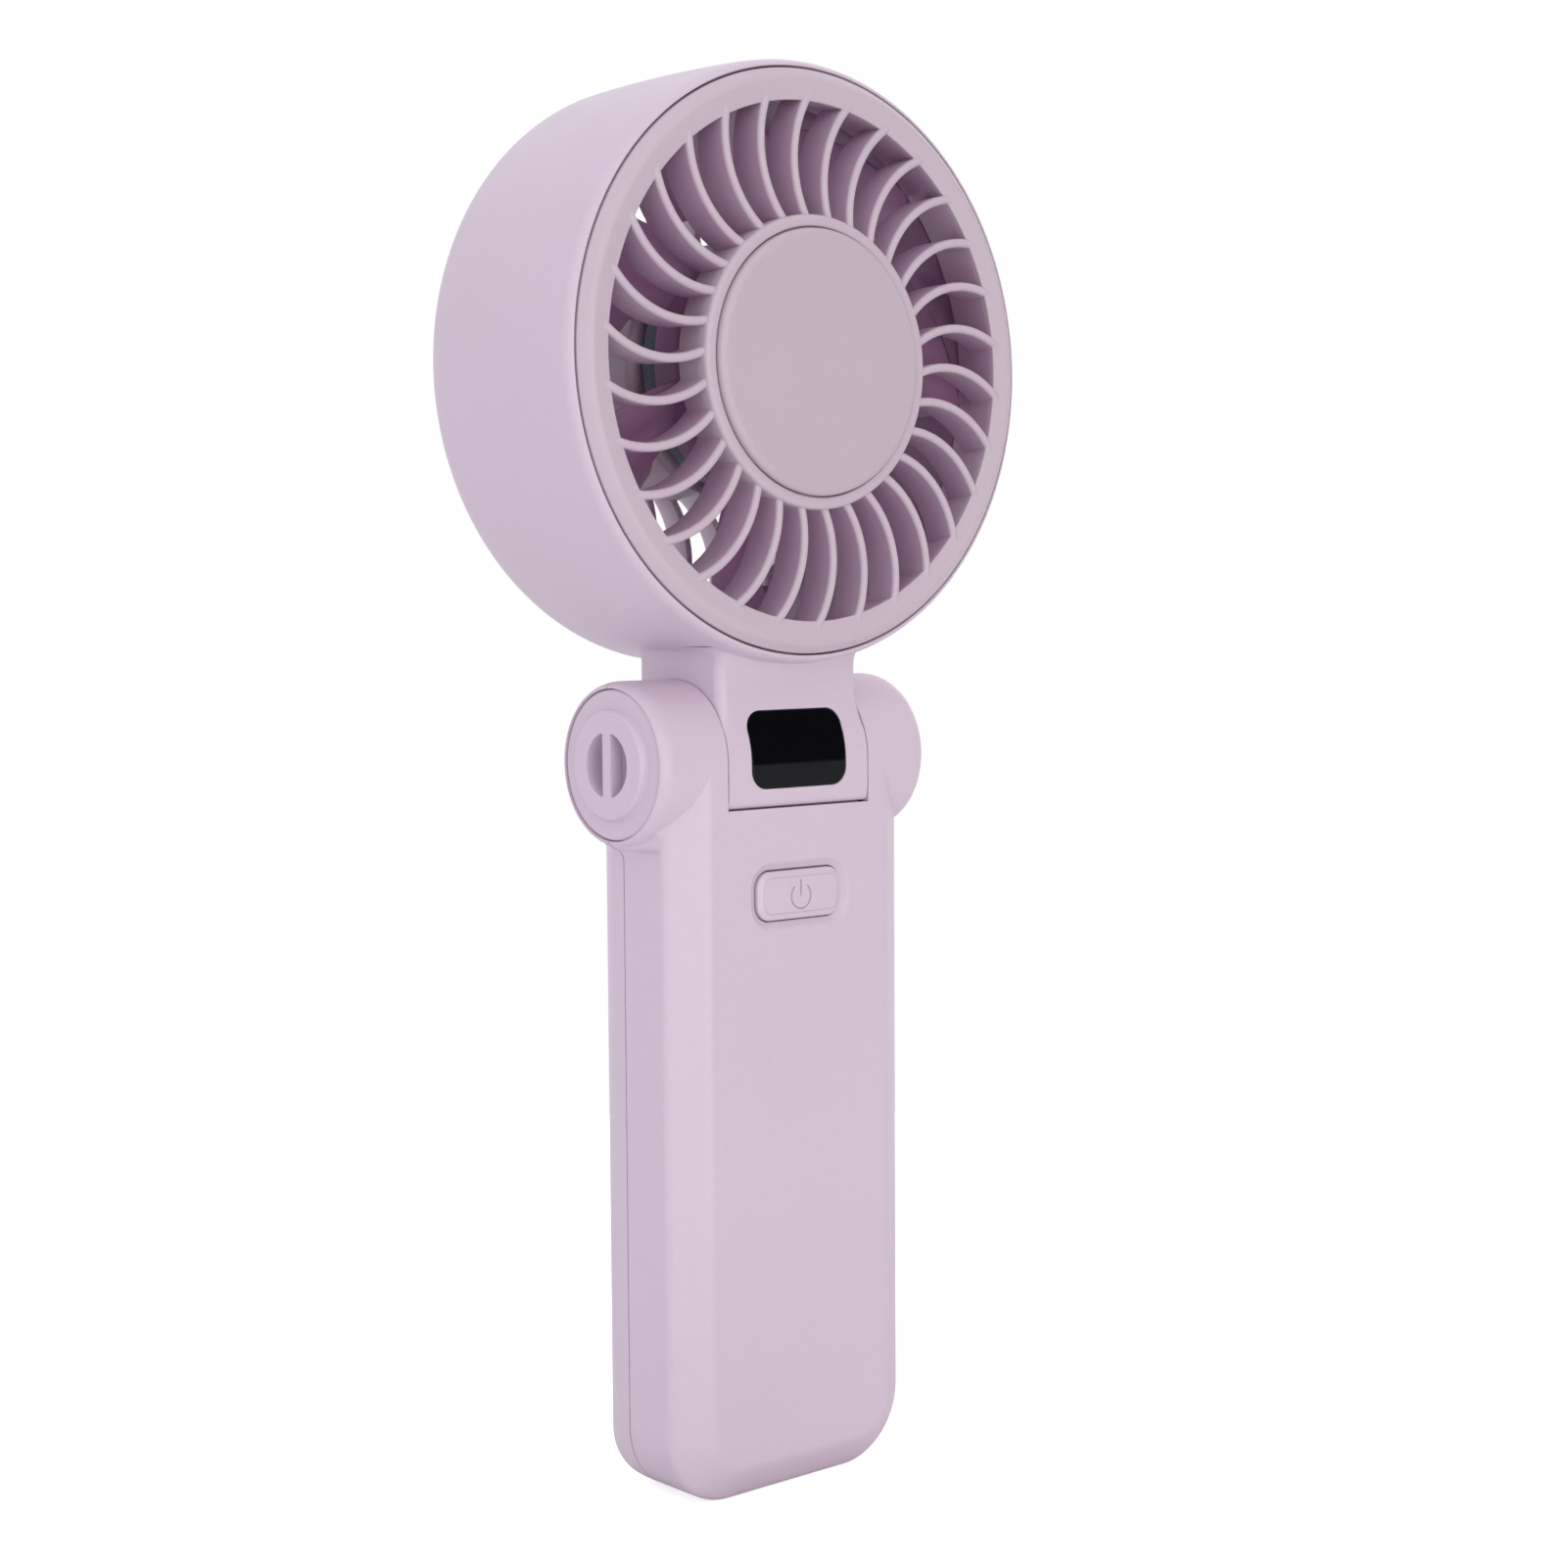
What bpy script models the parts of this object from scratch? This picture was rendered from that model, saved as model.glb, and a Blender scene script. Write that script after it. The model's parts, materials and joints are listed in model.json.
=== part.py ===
"""Folding handheld fan: a drum head on a hinge above a flat two-part handle.

The head leans forward and back on the handle, the impeller turns, the power button presses in and the
front grille twists loose. Front is -Y, up is +Z, and the origin is under the middle of the object.
Every size is in millimetres; the meshes are scaled to metres as they are made.
"""

import math

import bmesh
import bpy

MM = 0.001
GAP = 0.3  # clearance between pieces that meet

# Sides of round pieces, by size
LARGE = 44
RING = 60  # two sides to each front vane
MEDIUM = 28
SMALL = 16
TINY = 8

# Head: a drum on an axis along Y
HEAD_Z = 158.7  # height of the drum's axis
DRUM_FRONT_Y = -15.3  # plane of the seam round the front grille
DRUM_BACK_Y = 18.5
DRUM_R = 41.2  # outside radius at the front lip
DRUM_BULGE = 0.5  # how much the drum swells at mid depth
DRUM_LIP = (1.1, 2.0)  # rounding of the front lip: radial, axial
DRUM_BACK_ROUND = 5.0
SEAM_R = 40.0  # radius of the seam between drum and grille
DUCT_R = 37.4  # air duct inside the drum
BAYONET_R = 38.6  # bore that takes the grille's skirt
BAYONET_DEPTH = 8.2
LUG_GROOVE = (4.6, 7.0, 39.8)  # depth from, depth to, radius
LUG_COUNT = 3
LUG_ARC = 12.0  # degrees
TWIST_FREE = 15.0  # degrees that the grille turns before its lugs reach their entry slots

# Front grille
RING_CREST_R = 38.1
RING_CREST = 1.4  # how far the crest stands in front of the seam plane
RING_INNER_R = 35.4
RING_INNER = 1.0
HUB_R = 20.1
HUB_FRONT = 2.3
HUB_SKIRT_DEPTH = 4.4
DISC_R = 18.2
DISC_FACE_R = 17.4
DISC_FRONT = 3.2
VANE_COUNT = 30
VANE_ARC_R = 15.5  # radius of the arc that each vane follows
VANE_HUB_LEAD = 3.6  # degrees by which a vane's root leads its tip
VANE_FIRST = 6.0  # degrees, tip of the first vane from +X
VANE_TIP_R = 36.6
VANE_THICK = 1.2
VANE_BACK = 4.4  # depth of the vanes' back edge behind the seam plane
SKIRT_BACK = 7.4

# Rear grille, with the nacelle that carries the motor
REAR_RING_R = 36.0
REAR_RING_INNER_R = 34.2
REAR_VANE_COUNT = 24
REAR_VANE_DEPTH = 5.0
NACELLE_R = 17.9
NACELLE_WALL = 1.5
NACELLE_FRONT = 17.2  # depth of its front plate behind the seam plane

# Impeller and motor, as depths behind the seam plane
FAN_HUB_R = 18.7
FAN_HUB = (4.9, 10.6)
BLADE_COUNT = 7
BLADE_TIP_R = 36.4
BLADE_SPAN = (5.6, 15.8)  # leading and trailing depth at the root
BLADE_SWEEP = 34.0  # degrees that a blade turns from leading to trailing edge
BLADE_THICK = 1.3
CAN_R = 17.4
CAN = (6.8, 14.8)
CAN_WALL = 0.9
MAGNET = (8.2, 14.2, 16.2, 14.8)  # from, to, outer radius, inner radius
STATOR = (8.8, 13.8, 14.3)  # from, to, radius
STATOR_TEETH = 9
SHAFT_R = 1.0
TUBE_R = 4.6  # bearing tube
TUBE_BORE_R = 3.2

# Hinge, along X
HINGE_Y = -1.5
HINGE_Z = 103.8
KNUCKLE_R = 11.5
KNUCKLE_HALF = 12.86  # half length of the head's barrel
EAR_INNER = KNUCKLE_HALF + GAP
EAR_OUTER = 24.4
EAR_ROUND = 1.2
EAR_WALL = 2.2
EAR_CAVITY_R = 8.6
CAP_R = 10.3
CAP_THICK = 1.8
CAP_BOSS_R = 7.8
CAP_BOSS = 0.8
CAP_SLOT_R = 4.5
CAP_BAR = 1.8
CAP_HOLLOW = 2.8  # depth of the hollow behind the bar
PIN_R = 3.0
PIN_END = 9.5  # x of its inner end
PIN_BORE_END = 9.2
PIN_HEAD_R = 5.2
WASHER_R = 6.4
TROUGH_R = 11.9  # hollow in the handle's top that the barrel turns in
TROUGH_FRONT = (12.8, 64.0)  # its radius under the barrel's flush front, and down to how many degrees
NECK_BACK_Y = 7.1
NECK_EDGE = 1.4  # rounding of the neck's upright edges
HEAD_FRONT = (
    # (y, z from the hinge axis) up the front of barrel and neck
    (-12.3, -6.05), (-12.75, -4.9), (-13.0, -3.2),  # rounded in above the handle's top edge
    (-13.0, 0.4), (-12.83, 2.0), (-12.4, 3.6), (-12.02, 4.64),  # flush flat, then the barrel's round
    (-11.65, 6.15), (-11.4, 7.5), (-11.15, 9.2), (-11.0, 10.8),  # neck
    (-11.1, 12.2), (-11.6, 13.5), (-12.6, 14.5), (-14.4, 15.4),  # hollow blend into the drum's lip
)
NECK_TOP = 20.0  # above the hinge axis, inside the drum

# Display window on the barrel
WINDOW_HALF = 8.7
WINDOW_Z = (-3.55, 7.1)  # from the hinge axis
WINDOW_CORNER = 2.5
WINDOW_THICK = 1.2
WINDOW_POCKET = 5.0  # depth of the room behind the window

# Handle
HANDLE_HALF = 21.72
HANDLE_FRONT_Y = -13.0
HANDLE_BACK_Y = 10.0
FRONT_CHAMFER = (5.05, 4.9, 3.6)  # sideways, upwards from the base, in depth
BACK_ROUND = 10.2
BASE_BACK_ROUND = 6.0
BASE_CORNER = 10.6
SPLIT_Y = -0.65
COVER_TOP_Z = 97.45
BACK_COVER_TOP_Z = 94.4  # lower, so that the head folds right back
HANDLE_TOP_Z = 103.4  # where the sides end inside the ears
WALL = 1.8
CAVITY_TOP_Z = 90.4

# Power button
BUTTON_Z = 85.1
BUTTON = (15.6, 6.9)
BUTTON_CORNER = 2.4
BUTTON_FACE = 0.1  # how far its face stands in front of the handle
BUTTON_GROOVE = (1.3, 0.7)  # width and depth of the recess round it
BUTTON_TRAVEL = 0.5

# Handle internals
BOARD = (34.0, 70.0, 1.2)
BOARD_Y = -7.6
BOARD_Z = 14.0
BATTERY = (32.0, 10.0, 58.0)
BATTERY_Z = 12.0
FOAM_THICK = 1.2
USB = (8.9, 3.2, 7.0)
USB_Y = -5.1
USB_CORNER = 1.3

LILAC = (0.62, 0.51, 0.61)
LILAC_LIGHT = (0.60, 0.50, 0.59)


def clear_scene():
    for thing in list(bpy.data.objects):
        bpy.data.objects.remove(thing, do_unlink=True)


def make_material(name, colour, roughness, metallic=0.0):
    material = bpy.data.materials.new(name)
    material.use_nodes = True
    material.diffuse_color = (*colour, 1.0)
    shader = material.node_tree.nodes["Principled BSDF"]
    shader.inputs["Base Color"].default_value = (*colour, 1.0)
    shader.inputs["Roughness"].default_value = roughness
    shader.inputs["Metallic"].default_value = metallic
    return material


def make_pivot(name, place, parent=None):
    """An empty on a joint's axis; place is in world millimetres."""
    pivot = bpy.data.objects.new(name, None)
    pivot["world"] = place
    above = parent["world"] if parent else (0.0, 0.0, 0.0)
    pivot.parent = parent
    pivot.location = [(a - b) * MM for a, b in zip(place, above)]
    bpy.context.scene.collection.objects.link(pivot)
    return pivot


# Meshes from points in world millimetres

def mesh_object(name, points, faces, pivot=None, colour=None, smooth=35):
    """A mesh object whose origin is on its pivot."""
    origin = pivot["world"] if pivot else (0.0, 0.0, 0.0)
    mesh = bpy.data.meshes.new(name)
    mesh.from_pydata([[(a - b) * MM for a, b in zip(p, origin)] for p in points], [], faces)
    shape = bmesh.new()
    shape.from_mesh(mesh)
    bmesh.ops.recalc_face_normals(shape, faces=shape.faces)
    shape.to_mesh(mesh)
    shape.free()
    mesh.shade_smooth()
    mesh.set_sharp_from_angle(angle=math.radians(smooth))
    item = bpy.data.objects.new(name, mesh)
    item.parent = pivot
    if colour:
        mesh.materials.append(make_material(name, *colour))
    bpy.context.scene.collection.objects.link(item)
    return item


def helper(name, points, faces):
    """A shape that only cuts or joins others."""
    item = mesh_object(name, points, faces)
    item.hide_render = True
    item.display_type = "WIRE"
    return item


def combine(target, operation, *others):
    for other in others:
        step = target.modifiers.new(f"{operation.lower()} {other.name}", "BOOLEAN")
        step.operation = operation
        step.solver = "EXACT"
        step.object = other
    return target


def weld(target):
    """Joins the points that Boolean cuts leave closer than a hundredth of a millimetre."""
    step = target.modifiers.new("weld", "WELD")
    step.merge_threshold = 0.01 * MM


def turned(profile, axis, centre, steps=LARGE, start=0.0):
    """Points and faces of a closed profile of (radius, distance along the axis) turned right round.

    axis is "X" or "Y"; centre gives the axis's place in the two other directions.
    """
    points, rings = [], []

    def place(radius, along, angle):
        side, up = radius * math.cos(angle), radius * math.sin(angle)
        if axis == "Y":
            return (centre[0] + side, along, centre[1] + up)
        return (along, centre[0] + side, centre[1] + up)

    for radius, along in profile:
        if radius < 1e-6:
            points.append(place(0.0, along, 0.0))
            rings.append([len(points) - 1] * steps)
            continue
        rings.append(list(range(len(points), len(points) + steps)))
        points += [place(radius, along, start + 2 * math.pi * k / steps) for k in range(steps)]
    faces = []
    for here, there in zip(rings, rings[1:] + rings[:1]):
        if here[0] == here[1] and there[0] == there[1]:
            continue
        for k in range(steps):
            n = (k + 1) % steps
            corners = [here[k], here[n], there[n], there[k]]
            faces.append(list(dict.fromkeys(corners)))
    return points, faces


def loft(rings):
    """Points and faces of a solid through rings that have the same number of points."""
    count = len(rings[0])
    points = [p for ring in rings for p in ring]
    faces = [list(range(count))[::-1], [len(points) - count + k for k in range(count)]]
    for level in range(len(rings) - 1):
        low, high = level * count, (level + 1) * count
        for k in range(count):
            n = (k + 1) % count
            faces.append([low + k, low + n, high + n, high + k])
    return points, faces


def box(low, high):
    (x0, y0, z0), (x1, y1, z1) = low, high
    floor = [(x0, y0), (x1, y0), (x1, y1), (x0, y1)]
    return loft([[(x, y, z) for x, y in floor] for z in (z0, z1)])


def rounded(half_x, half_z, corner, steps=4):
    """A rounded rectangle round the origin, as (x, z) points."""
    outline = []
    for cx, cz, first in ((1, 1, 0), (-1, 1, 90), (-1, -1, 180), (1, -1, 270)):
        for k in range(steps + 1):
            angle = math.radians(first + 90 * k / steps)
            outline.append((cx * (half_x - corner) + corner * math.cos(angle),
                            cz * (half_z - corner) + corner * math.sin(angle)))
    return outline


def slab(outline, y0, y1, centre=(0.0, 0.0)):
    """An (x, z) outline pushed from y0 to y1."""
    return loft([[(centre[0] + x, y, centre[1] + z) for x, z in outline] for y in (y0, y1)])


def arc(centre, radii, first, last, steps):
    """Points (a, b) on an ellipse arc; angles in degrees from the first direction."""
    angles = [math.radians(first + (last - first) * k / steps) for k in range(steps + 1)]
    return [(centre[0] + radii[0] * math.cos(a), centre[1] + radii[1] * math.sin(a)) for a in angles]


def depth(value):
    """World Y of a depth behind the seam plane."""
    return DRUM_FRONT_Y + value


HEAD_CENTRE = (0.0, HEAD_Z)
HINGE = (HINGE_Y, HINGE_Z)


# Vanes of both grilles

def vane_line(root_r, tip_r, lead, steps):
    """(x, z) points from root to tip on one arc, with the tip on +X and the root leading it."""
    root = (root_r * math.cos(math.radians(lead)), root_r * math.sin(math.radians(lead)))
    tip = (tip_r, 0.0)
    chord = math.dist(root, tip)
    middle = ((root[0] + tip[0]) / 2, (root[1] + tip[1]) / 2)
    along = ((tip[0] - root[0]) / chord, (tip[1] - root[1]) / chord)
    drop = math.sqrt(VANE_ARC_R**2 - (chord / 2) ** 2)
    hub = (middle[0] + along[1] * drop, middle[1] - along[0] * drop)
    first = math.atan2(root[1] - hub[1], root[0] - hub[0])
    last = math.atan2(tip[1] - hub[1], tip[0] - hub[0])
    angles = [first + (last - first) * k / steps for k in range(steps + 1)]
    return [(hub[0] + VANE_ARC_R * math.cos(a), hub[1] + VANE_ARC_R * math.sin(a)) for a in angles]


def vane(line, turn, y_of, back_y, thick):
    """One vane: a wall along line, turned about the head's axis; y_of gives its front edge by radius."""
    turn = math.radians(turn)
    rings = []
    for k, (x, z) in enumerate(line):
        before, after = line[max(k - 1, 0)], line[min(k + 1, len(line) - 1)]
        run = math.dist(before, after)
        side = (-(after[1] - before[1]) / run * thick / 2, (after[0] - before[0]) / run * thick / 2)
        front = y_of(math.hypot(x, z))
        ring = []
        for sign, y in ((1, front), (-1, front), (-1, back_y), (1, back_y)):
            px, pz = x + sign * side[0], z + sign * side[1]
            ring.append((px * math.cos(turn) - pz * math.sin(turn), y,
                         HEAD_Z + px * math.sin(turn) + pz * math.cos(turn)))
        rings.append(ring)
    return loft(rings)


def many(shapes):
    """Several (points, faces) shapes as one."""
    points, faces = [], []
    for more_points, more_faces in shapes:
        start = len(points)
        points += more_points
        faces += [[index + start for index in face] for face in more_faces]
    return points, faces


# Head

def drum_radius(y):
    """Outside radius of the drum, which swells slightly at mid depth."""
    share = (y - DRUM_FRONT_Y) / (DRUM_BACK_Y - DRUM_FRONT_Y)
    return DRUM_R + DRUM_BULGE * math.sin(math.pi * min(max(share, 0.0), 1.0))


def drum_profile():
    lip_r, lip_y = DRUM_LIP
    bend_y = DRUM_BACK_Y - DRUM_BACK_ROUND
    bend_r = drum_radius(bend_y)
    groove_from, groove_to, groove_r = LUG_GROOVE
    lip = [(DRUM_R - lip_r + lip_r * math.sin(a), DRUM_FRONT_Y + lip_y - lip_y * math.cos(a))
           for a in (math.radians(90 * k / 3) for k in range(4))]
    side = [(drum_radius(y), y) for y in (-5.0, 4.5)]
    back = arc((bend_r - DRUM_BACK_ROUND, bend_y), (DRUM_BACK_ROUND, DRUM_BACK_ROUND), 0, 90, 4)
    inside = [
        (REAR_RING_R + GAP, DRUM_BACK_Y),
        (REAR_RING_R + GAP, DRUM_BACK_Y - 2.6),
        (DUCT_R - 2.0, DRUM_BACK_Y - 2.6),
        (DUCT_R, DRUM_BACK_Y - 4.6),
        (DUCT_R, depth(BAYONET_DEPTH)),
        (BAYONET_R, depth(BAYONET_DEPTH)),
        (BAYONET_R, depth(groove_to)),
        (groove_r, depth(groove_to)),
        (groove_r, depth(groove_from)),
        (BAYONET_R, depth(groove_from)),
        (BAYONET_R, depth(2.0)),
        (SEAM_R + GAP / 2, depth(2.0)),
        (SEAM_R + GAP / 2, DRUM_FRONT_Y),
    ]
    return lip[1:] + side + back + inside


def neck_side(edge):
    """Side view of barrel and neck as (y, z), with the neck's faces brought in by edge."""

    def share(z):
        return min(max((z - 4.0) / 5.0, 0.0), 1.0)

    front = [(y + edge * share(z), HINGE_Z + z) for y, z in HEAD_FRONT]
    top_z = HINGE_Z + NECK_TOP
    back_y = NECK_BACK_Y - edge
    meet = math.degrees(math.acos((back_y - HINGE_Y) / KNUCKLE_R))
    low_z = HEAD_FRONT[0][1]
    end = -180 - math.degrees(math.asin(low_z / KNUCKLE_R))
    barrel = arc(HINGE, (KNUCKLE_R, KNUCKLE_R), meet, end, 26)
    return front + [(front[-1][0], top_z), (back_y, top_z)] + barrel


def make_neck():
    """Barrel and neck as one block across the head, with the neck's upright edges rounded."""
    rings = []
    for away in (0.0, 0.3 * NECK_EDGE, NECK_EDGE):
        edge = NECK_EDGE - math.sqrt(NECK_EDGE**2 - (NECK_EDGE - away) ** 2)
        rings.append([(away - KNUCKLE_HALF, y, z) for y, z in neck_side(edge)])
    rings += [[(-x, y, z) for x, y, z in ring] for ring in reversed(rings)]
    return helper("neck", *loft(rings))


def window_block(grow, front, back):
    """The window's outline between two depths behind the barrel's front, measured along Y."""
    low, high = WINDOW_Z
    middle = HINGE_Z + (low + high) / 2
    outline = rounded(WINDOW_HALF + grow, (high - low) / 2 + grow, WINDOW_CORNER + grow, 3)
    plate = helper(f"window_outline_{grow}", *slab(outline, HINGE_Y - 20, HINGE_Y - 2, (0.0, middle)))
    face = [(y, HINGE_Z + z) for y, z in HEAD_FRONT if z < high + 4]
    strip = [(y + front, z) for y, z in face] + [(y + back, z) for y, z in reversed(face)]
    edge = WINDOW_HALF + 3
    return loft([[(x, y, z) for y, z in strip] for x in (-edge, edge)]), plate


def make_head_shell(pivot, colour):
    shell = mesh_object("head_shell", *turned(drum_profile(), "Y", HEAD_CENTRE), pivot, colour)
    neck = make_neck()
    duct_wall = DUCT_R + 1.6
    duct = [(0.0, depth(-3)), (SEAM_R + GAP, depth(-3)), (SEAM_R + GAP, depth(BAYONET_DEPTH)),
            (duct_wall, depth(BAYONET_DEPTH)), (duct_wall, DRUM_BACK_Y + 3), (0.0, DRUM_BACK_Y + 3)]
    combine(neck, "DIFFERENCE", helper("duct_space", *turned(duct, "Y", HEAD_CENTRE)))
    combine(shell, "UNION", neck)

    strip, outline = window_block(GAP, -2.0, WINDOW_POCKET)
    pocket = combine(helper("window_pocket", *strip), "INTERSECT", outline)
    bores = helper("barrel_bores", *many(
        turned([(0.0, a), (PIN_R + GAP, a), (PIN_R + GAP, b), (0.0, b)], "X", HINGE, SMALL)
        for a, b in ((-20, -PIN_BORE_END), (PIN_BORE_END, 20))))
    combine(shell, "DIFFERENCE", pocket, bores)

    entry = []
    for k in range(LUG_COUNT):
        entry.append(lug(k, TWIST_FREE, depth(1.0), depth(LUG_GROOVE[0] + 1.0), LUG_GROOVE[2], LUG_ARC + 2.0))
    combine(shell, "DIFFERENCE", helper("lug_entries", *many(entry)))


def lug(number, turn, y0, y1, outer_r, arc_width, inner_r=DUCT_R + 0.4):
    """A short arc of ring, for a bayonet lug or the slot that lets it in."""
    middle = 90 + 360 * number / LUG_COUNT + turn
    angles = [math.radians(middle + arc_width * (k / 4 - 0.5)) for k in range(5)]
    outline = [(outer_r * math.cos(a), outer_r * math.sin(a)) for a in angles]
    outline += [(inner_r * math.cos(a), inner_r * math.sin(a)) for a in reversed(angles)]
    return slab(outline, y0, y1, HEAD_CENTRE)


def make_front_grille(pivot, colour):
    """Ring with a bayonet skirt, curved vanes and a hub, as one moulding."""
    crest_y, inner_y = depth(-RING_CREST), depth(-RING_INNER)
    skirt_r = BAYONET_R - GAP
    ring = [
        (SEAM_R - GAP / 2, DRUM_FRONT_Y),
        (RING_CREST_R + 0.8, crest_y + 0.3),
        (RING_CREST_R, crest_y),
        (RING_INNER_R, inner_y),
        (RING_INNER_R + 1.2, depth(SKIRT_BACK)),
        (skirt_r - 0.7, depth(SKIRT_BACK)),
        (skirt_r, depth(SKIRT_BACK - 0.7)),
        (skirt_r, depth(1.7)),
        (SEAM_R - GAP / 2, depth(1.7)),
    ]
    grille = mesh_object("front_grille", *turned(ring, "Y", HEAD_CENTRE, RING), pivot, colour)
    hub_y, floor_y = depth(-HUB_FRONT), depth(-DISC_FRONT + 1.9)
    hub = [
        (DISC_R + GAP, floor_y), (DISC_R + GAP, hub_y), (HUB_R - 0.7, hub_y), (HUB_R - 0.2, hub_y + 0.3),
        (HUB_R, hub_y + 0.9), (HUB_R - 0.6, depth(HUB_SKIRT_DEPTH)),
        (HUB_R - 2.0, depth(HUB_SKIRT_DEPTH)), (HUB_R - 2.0, floor_y + 1.6), (3.3, floor_y + 1.6),
        (3.3, floor_y),
    ]

    def front_y(radius):
        share = (radius - HUB_R) / (VANE_TIP_R - HUB_R)
        sink = 1.4 * max(0.0, (radius - RING_INNER_R) / (VANE_TIP_R - RING_INNER_R))
        return hub_y + 0.5 + (inner_y - hub_y - 0.5) * share + sink

    line = vane_line(HUB_R - 0.8, VANE_TIP_R, VANE_HUB_LEAD, 4)
    step = 360 / VANE_COUNT
    vanes = many(vane(line, VANE_FIRST + k * step, front_y, depth(VANE_BACK), VANE_THICK)
                 for k in range(VANE_COUNT))
    combine(grille, "UNION", helper("front_vanes", *vanes),
            helper("front_hub", *turned(hub, "Y", HEAD_CENTRE, MEDIUM)))
    groove_from, groove_to, groove_r = LUG_GROOVE
    low, high = depth(groove_from + GAP), depth(groove_to - GAP)
    lugs = [lug(k, 0.0, low, high, groove_r - GAP, LUG_ARC, DUCT_R - 1.4) for k in range(LUG_COUNT)]
    combine(grille, "UNION", helper("lugs", *many(lugs)))


def make_hub_disc(pivot, colour):
    front, back = depth(-DISC_FRONT), depth(-DISC_FRONT + 1.6)
    disc = [(0.0, front), (DISC_FACE_R, front), (DISC_R - 0.2, front + 0.5), (DISC_R, front + 0.9),
            (DISC_R, back), (3.0, back), (3.0, back + 2.6), (0.0, back + 2.6)]
    mesh_object("hub_disc", *turned(disc, "Y", HEAD_CENTRE, MEDIUM), pivot, colour)


def make_rear_grille(pivot, colour):
    """Rear guard: a ring, curved vanes and the nacelle whose tube holds the bearings."""
    ring = [
        (REAR_RING_R, DRUM_BACK_Y), (REAR_RING_R, DRUM_BACK_Y - 2.3), (REAR_RING_INNER_R, DRUM_BACK_Y - 2.3),
        (REAR_RING_INNER_R, DRUM_BACK_Y),
    ]
    grille = mesh_object("rear_grille", *turned(ring, "Y", HEAD_CENTRE), pivot, colour)
    plate = depth(NACELLE_FRONT)
    inside = NACELLE_R - NACELLE_WALL
    nacelle = [
        (NACELLE_R, DRUM_BACK_Y - 0.2), (NACELLE_R, plate + 1.0), (NACELLE_R - 1.0, plate),
        (TUBE_R + 1.5, plate), (TUBE_R, plate - 1.5), (TUBE_R, depth(STATOR[0] - 0.6)),
        (TUBE_BORE_R, depth(STATOR[0] - 0.6)), (TUBE_BORE_R, plate + 1.6), (inside, plate + 1.6),
        (inside, DRUM_BACK_Y - 0.2),
    ]
    line = vane_line(NACELLE_R - 0.6, REAR_RING_INNER_R + 0.9, -VANE_HUB_LEAD, 3)
    step = 360 / REAR_VANE_COUNT
    vanes = many(vane(line, k * step, lambda radius: DRUM_BACK_Y - REAR_VANE_DEPTH, DRUM_BACK_Y - 0.6, 1.3)
                 for k in range(REAR_VANE_COUNT))
    combine(grille, "UNION", helper("rear_vanes", *vanes),
            helper("nacelle", *turned(nacelle, "Y", HEAD_CENTRE, MEDIUM)))


def make_rear_cap(pivot, colour):
    radius = NACELLE_R - NACELLE_WALL - GAP
    wall, rim = radius - 1.4, DRUM_BACK_Y - 3.0
    cap = [(0.0, DRUM_BACK_Y), (radius - 0.8, DRUM_BACK_Y), (radius, DRUM_BACK_Y - 0.8), (radius, rim),
           (wall, rim), (wall, DRUM_BACK_Y - 1.6), (0.0, DRUM_BACK_Y - 1.6)]
    mesh_object("rear_hub_cap", *turned(cap, "Y", HEAD_CENTRE, MEDIUM), pivot, colour)


def make_display(pivot, lens_colour, board_colour):
    strip, outline = window_block(0.0, 0.0, WINDOW_THICK)
    combine(mesh_object("display_lens", *strip, pivot, lens_colour), "INTERSECT", outline)
    middle = HINGE_Z + sum(WINDOW_Z) / 2
    board = slab(rounded(7.6, 4.2, 0.6, 1), HINGE_Y - 8.4, HINGE_Y - 7.2, (0.0, middle))
    mesh_object("display_board", *board, pivot, board_colour)


# Impeller and motor

def blade(turn):
    """One blade, swept back as it goes from its leading to its trailing edge."""
    rings = []
    lead, trail = BLADE_SPAN
    stations = [(FAN_HUB_R - 0.5, 0.0, 1.0), (24.0, 1.5, 0.92), (30.0, 4.5, 0.85), (BLADE_TIP_R, 9.0, 0.78)]
    for radius, rake, chord in stations:
        front = []
        back = []
        for k in range(5):
            share = k / 4
            middle = (lead + trail) / 2
            y = depth(middle + (share - 0.5) * (trail - lead) * chord)
            camber = 5.0 * math.sin(math.pi * share) * 18.0 / radius
            angle = turn + rake + (share - 0.5) * BLADE_SWEEP * (0.75 + 0.25 * 20 / radius) + camber
            thick = BLADE_THICK * (0.45 + 0.55 * math.sin(math.pi * share)) / radius / 2
            for side, sign in ((front, 1), (back, -1)):
                a = math.radians(angle) + sign * thick
                side.append((radius * math.cos(a), y, HEAD_Z + radius * math.sin(a)))
        rings.append(front + back[::-1])
    return loft(rings)


def make_impeller(pivot, colour):
    front, back = FAN_HUB
    hub = [
        (1.3, depth(front)), (FAN_HUB_R - 1.2, depth(front)), (FAN_HUB_R, depth(front + 1.2)),
        (FAN_HUB_R, depth(back)), (CAN_R + GAP, depth(back)), (CAN_R + GAP, depth(front + 1.6)),
        (1.3, depth(front + 1.6)),
    ]
    wheel = mesh_object("impeller", *turned(hub, "Y", HEAD_CENTRE, MEDIUM), pivot, colour)
    keep_out = helper("can_space", *turned(
        [(0.0, depth(front + 1.6)), (CAN_R + GAP + 0.3, depth(front + 1.6)),
         (CAN_R + GAP + 0.3, depth(30)), (0.0, depth(30))], "Y", HEAD_CENTRE, MEDIUM))
    blades = helper("blades", *many(blade(k * 360 / BLADE_COUNT) for k in range(BLADE_COUNT)))
    combine(blades, "DIFFERENCE", keep_out)
    combine(wheel, "UNION", blades)


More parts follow.
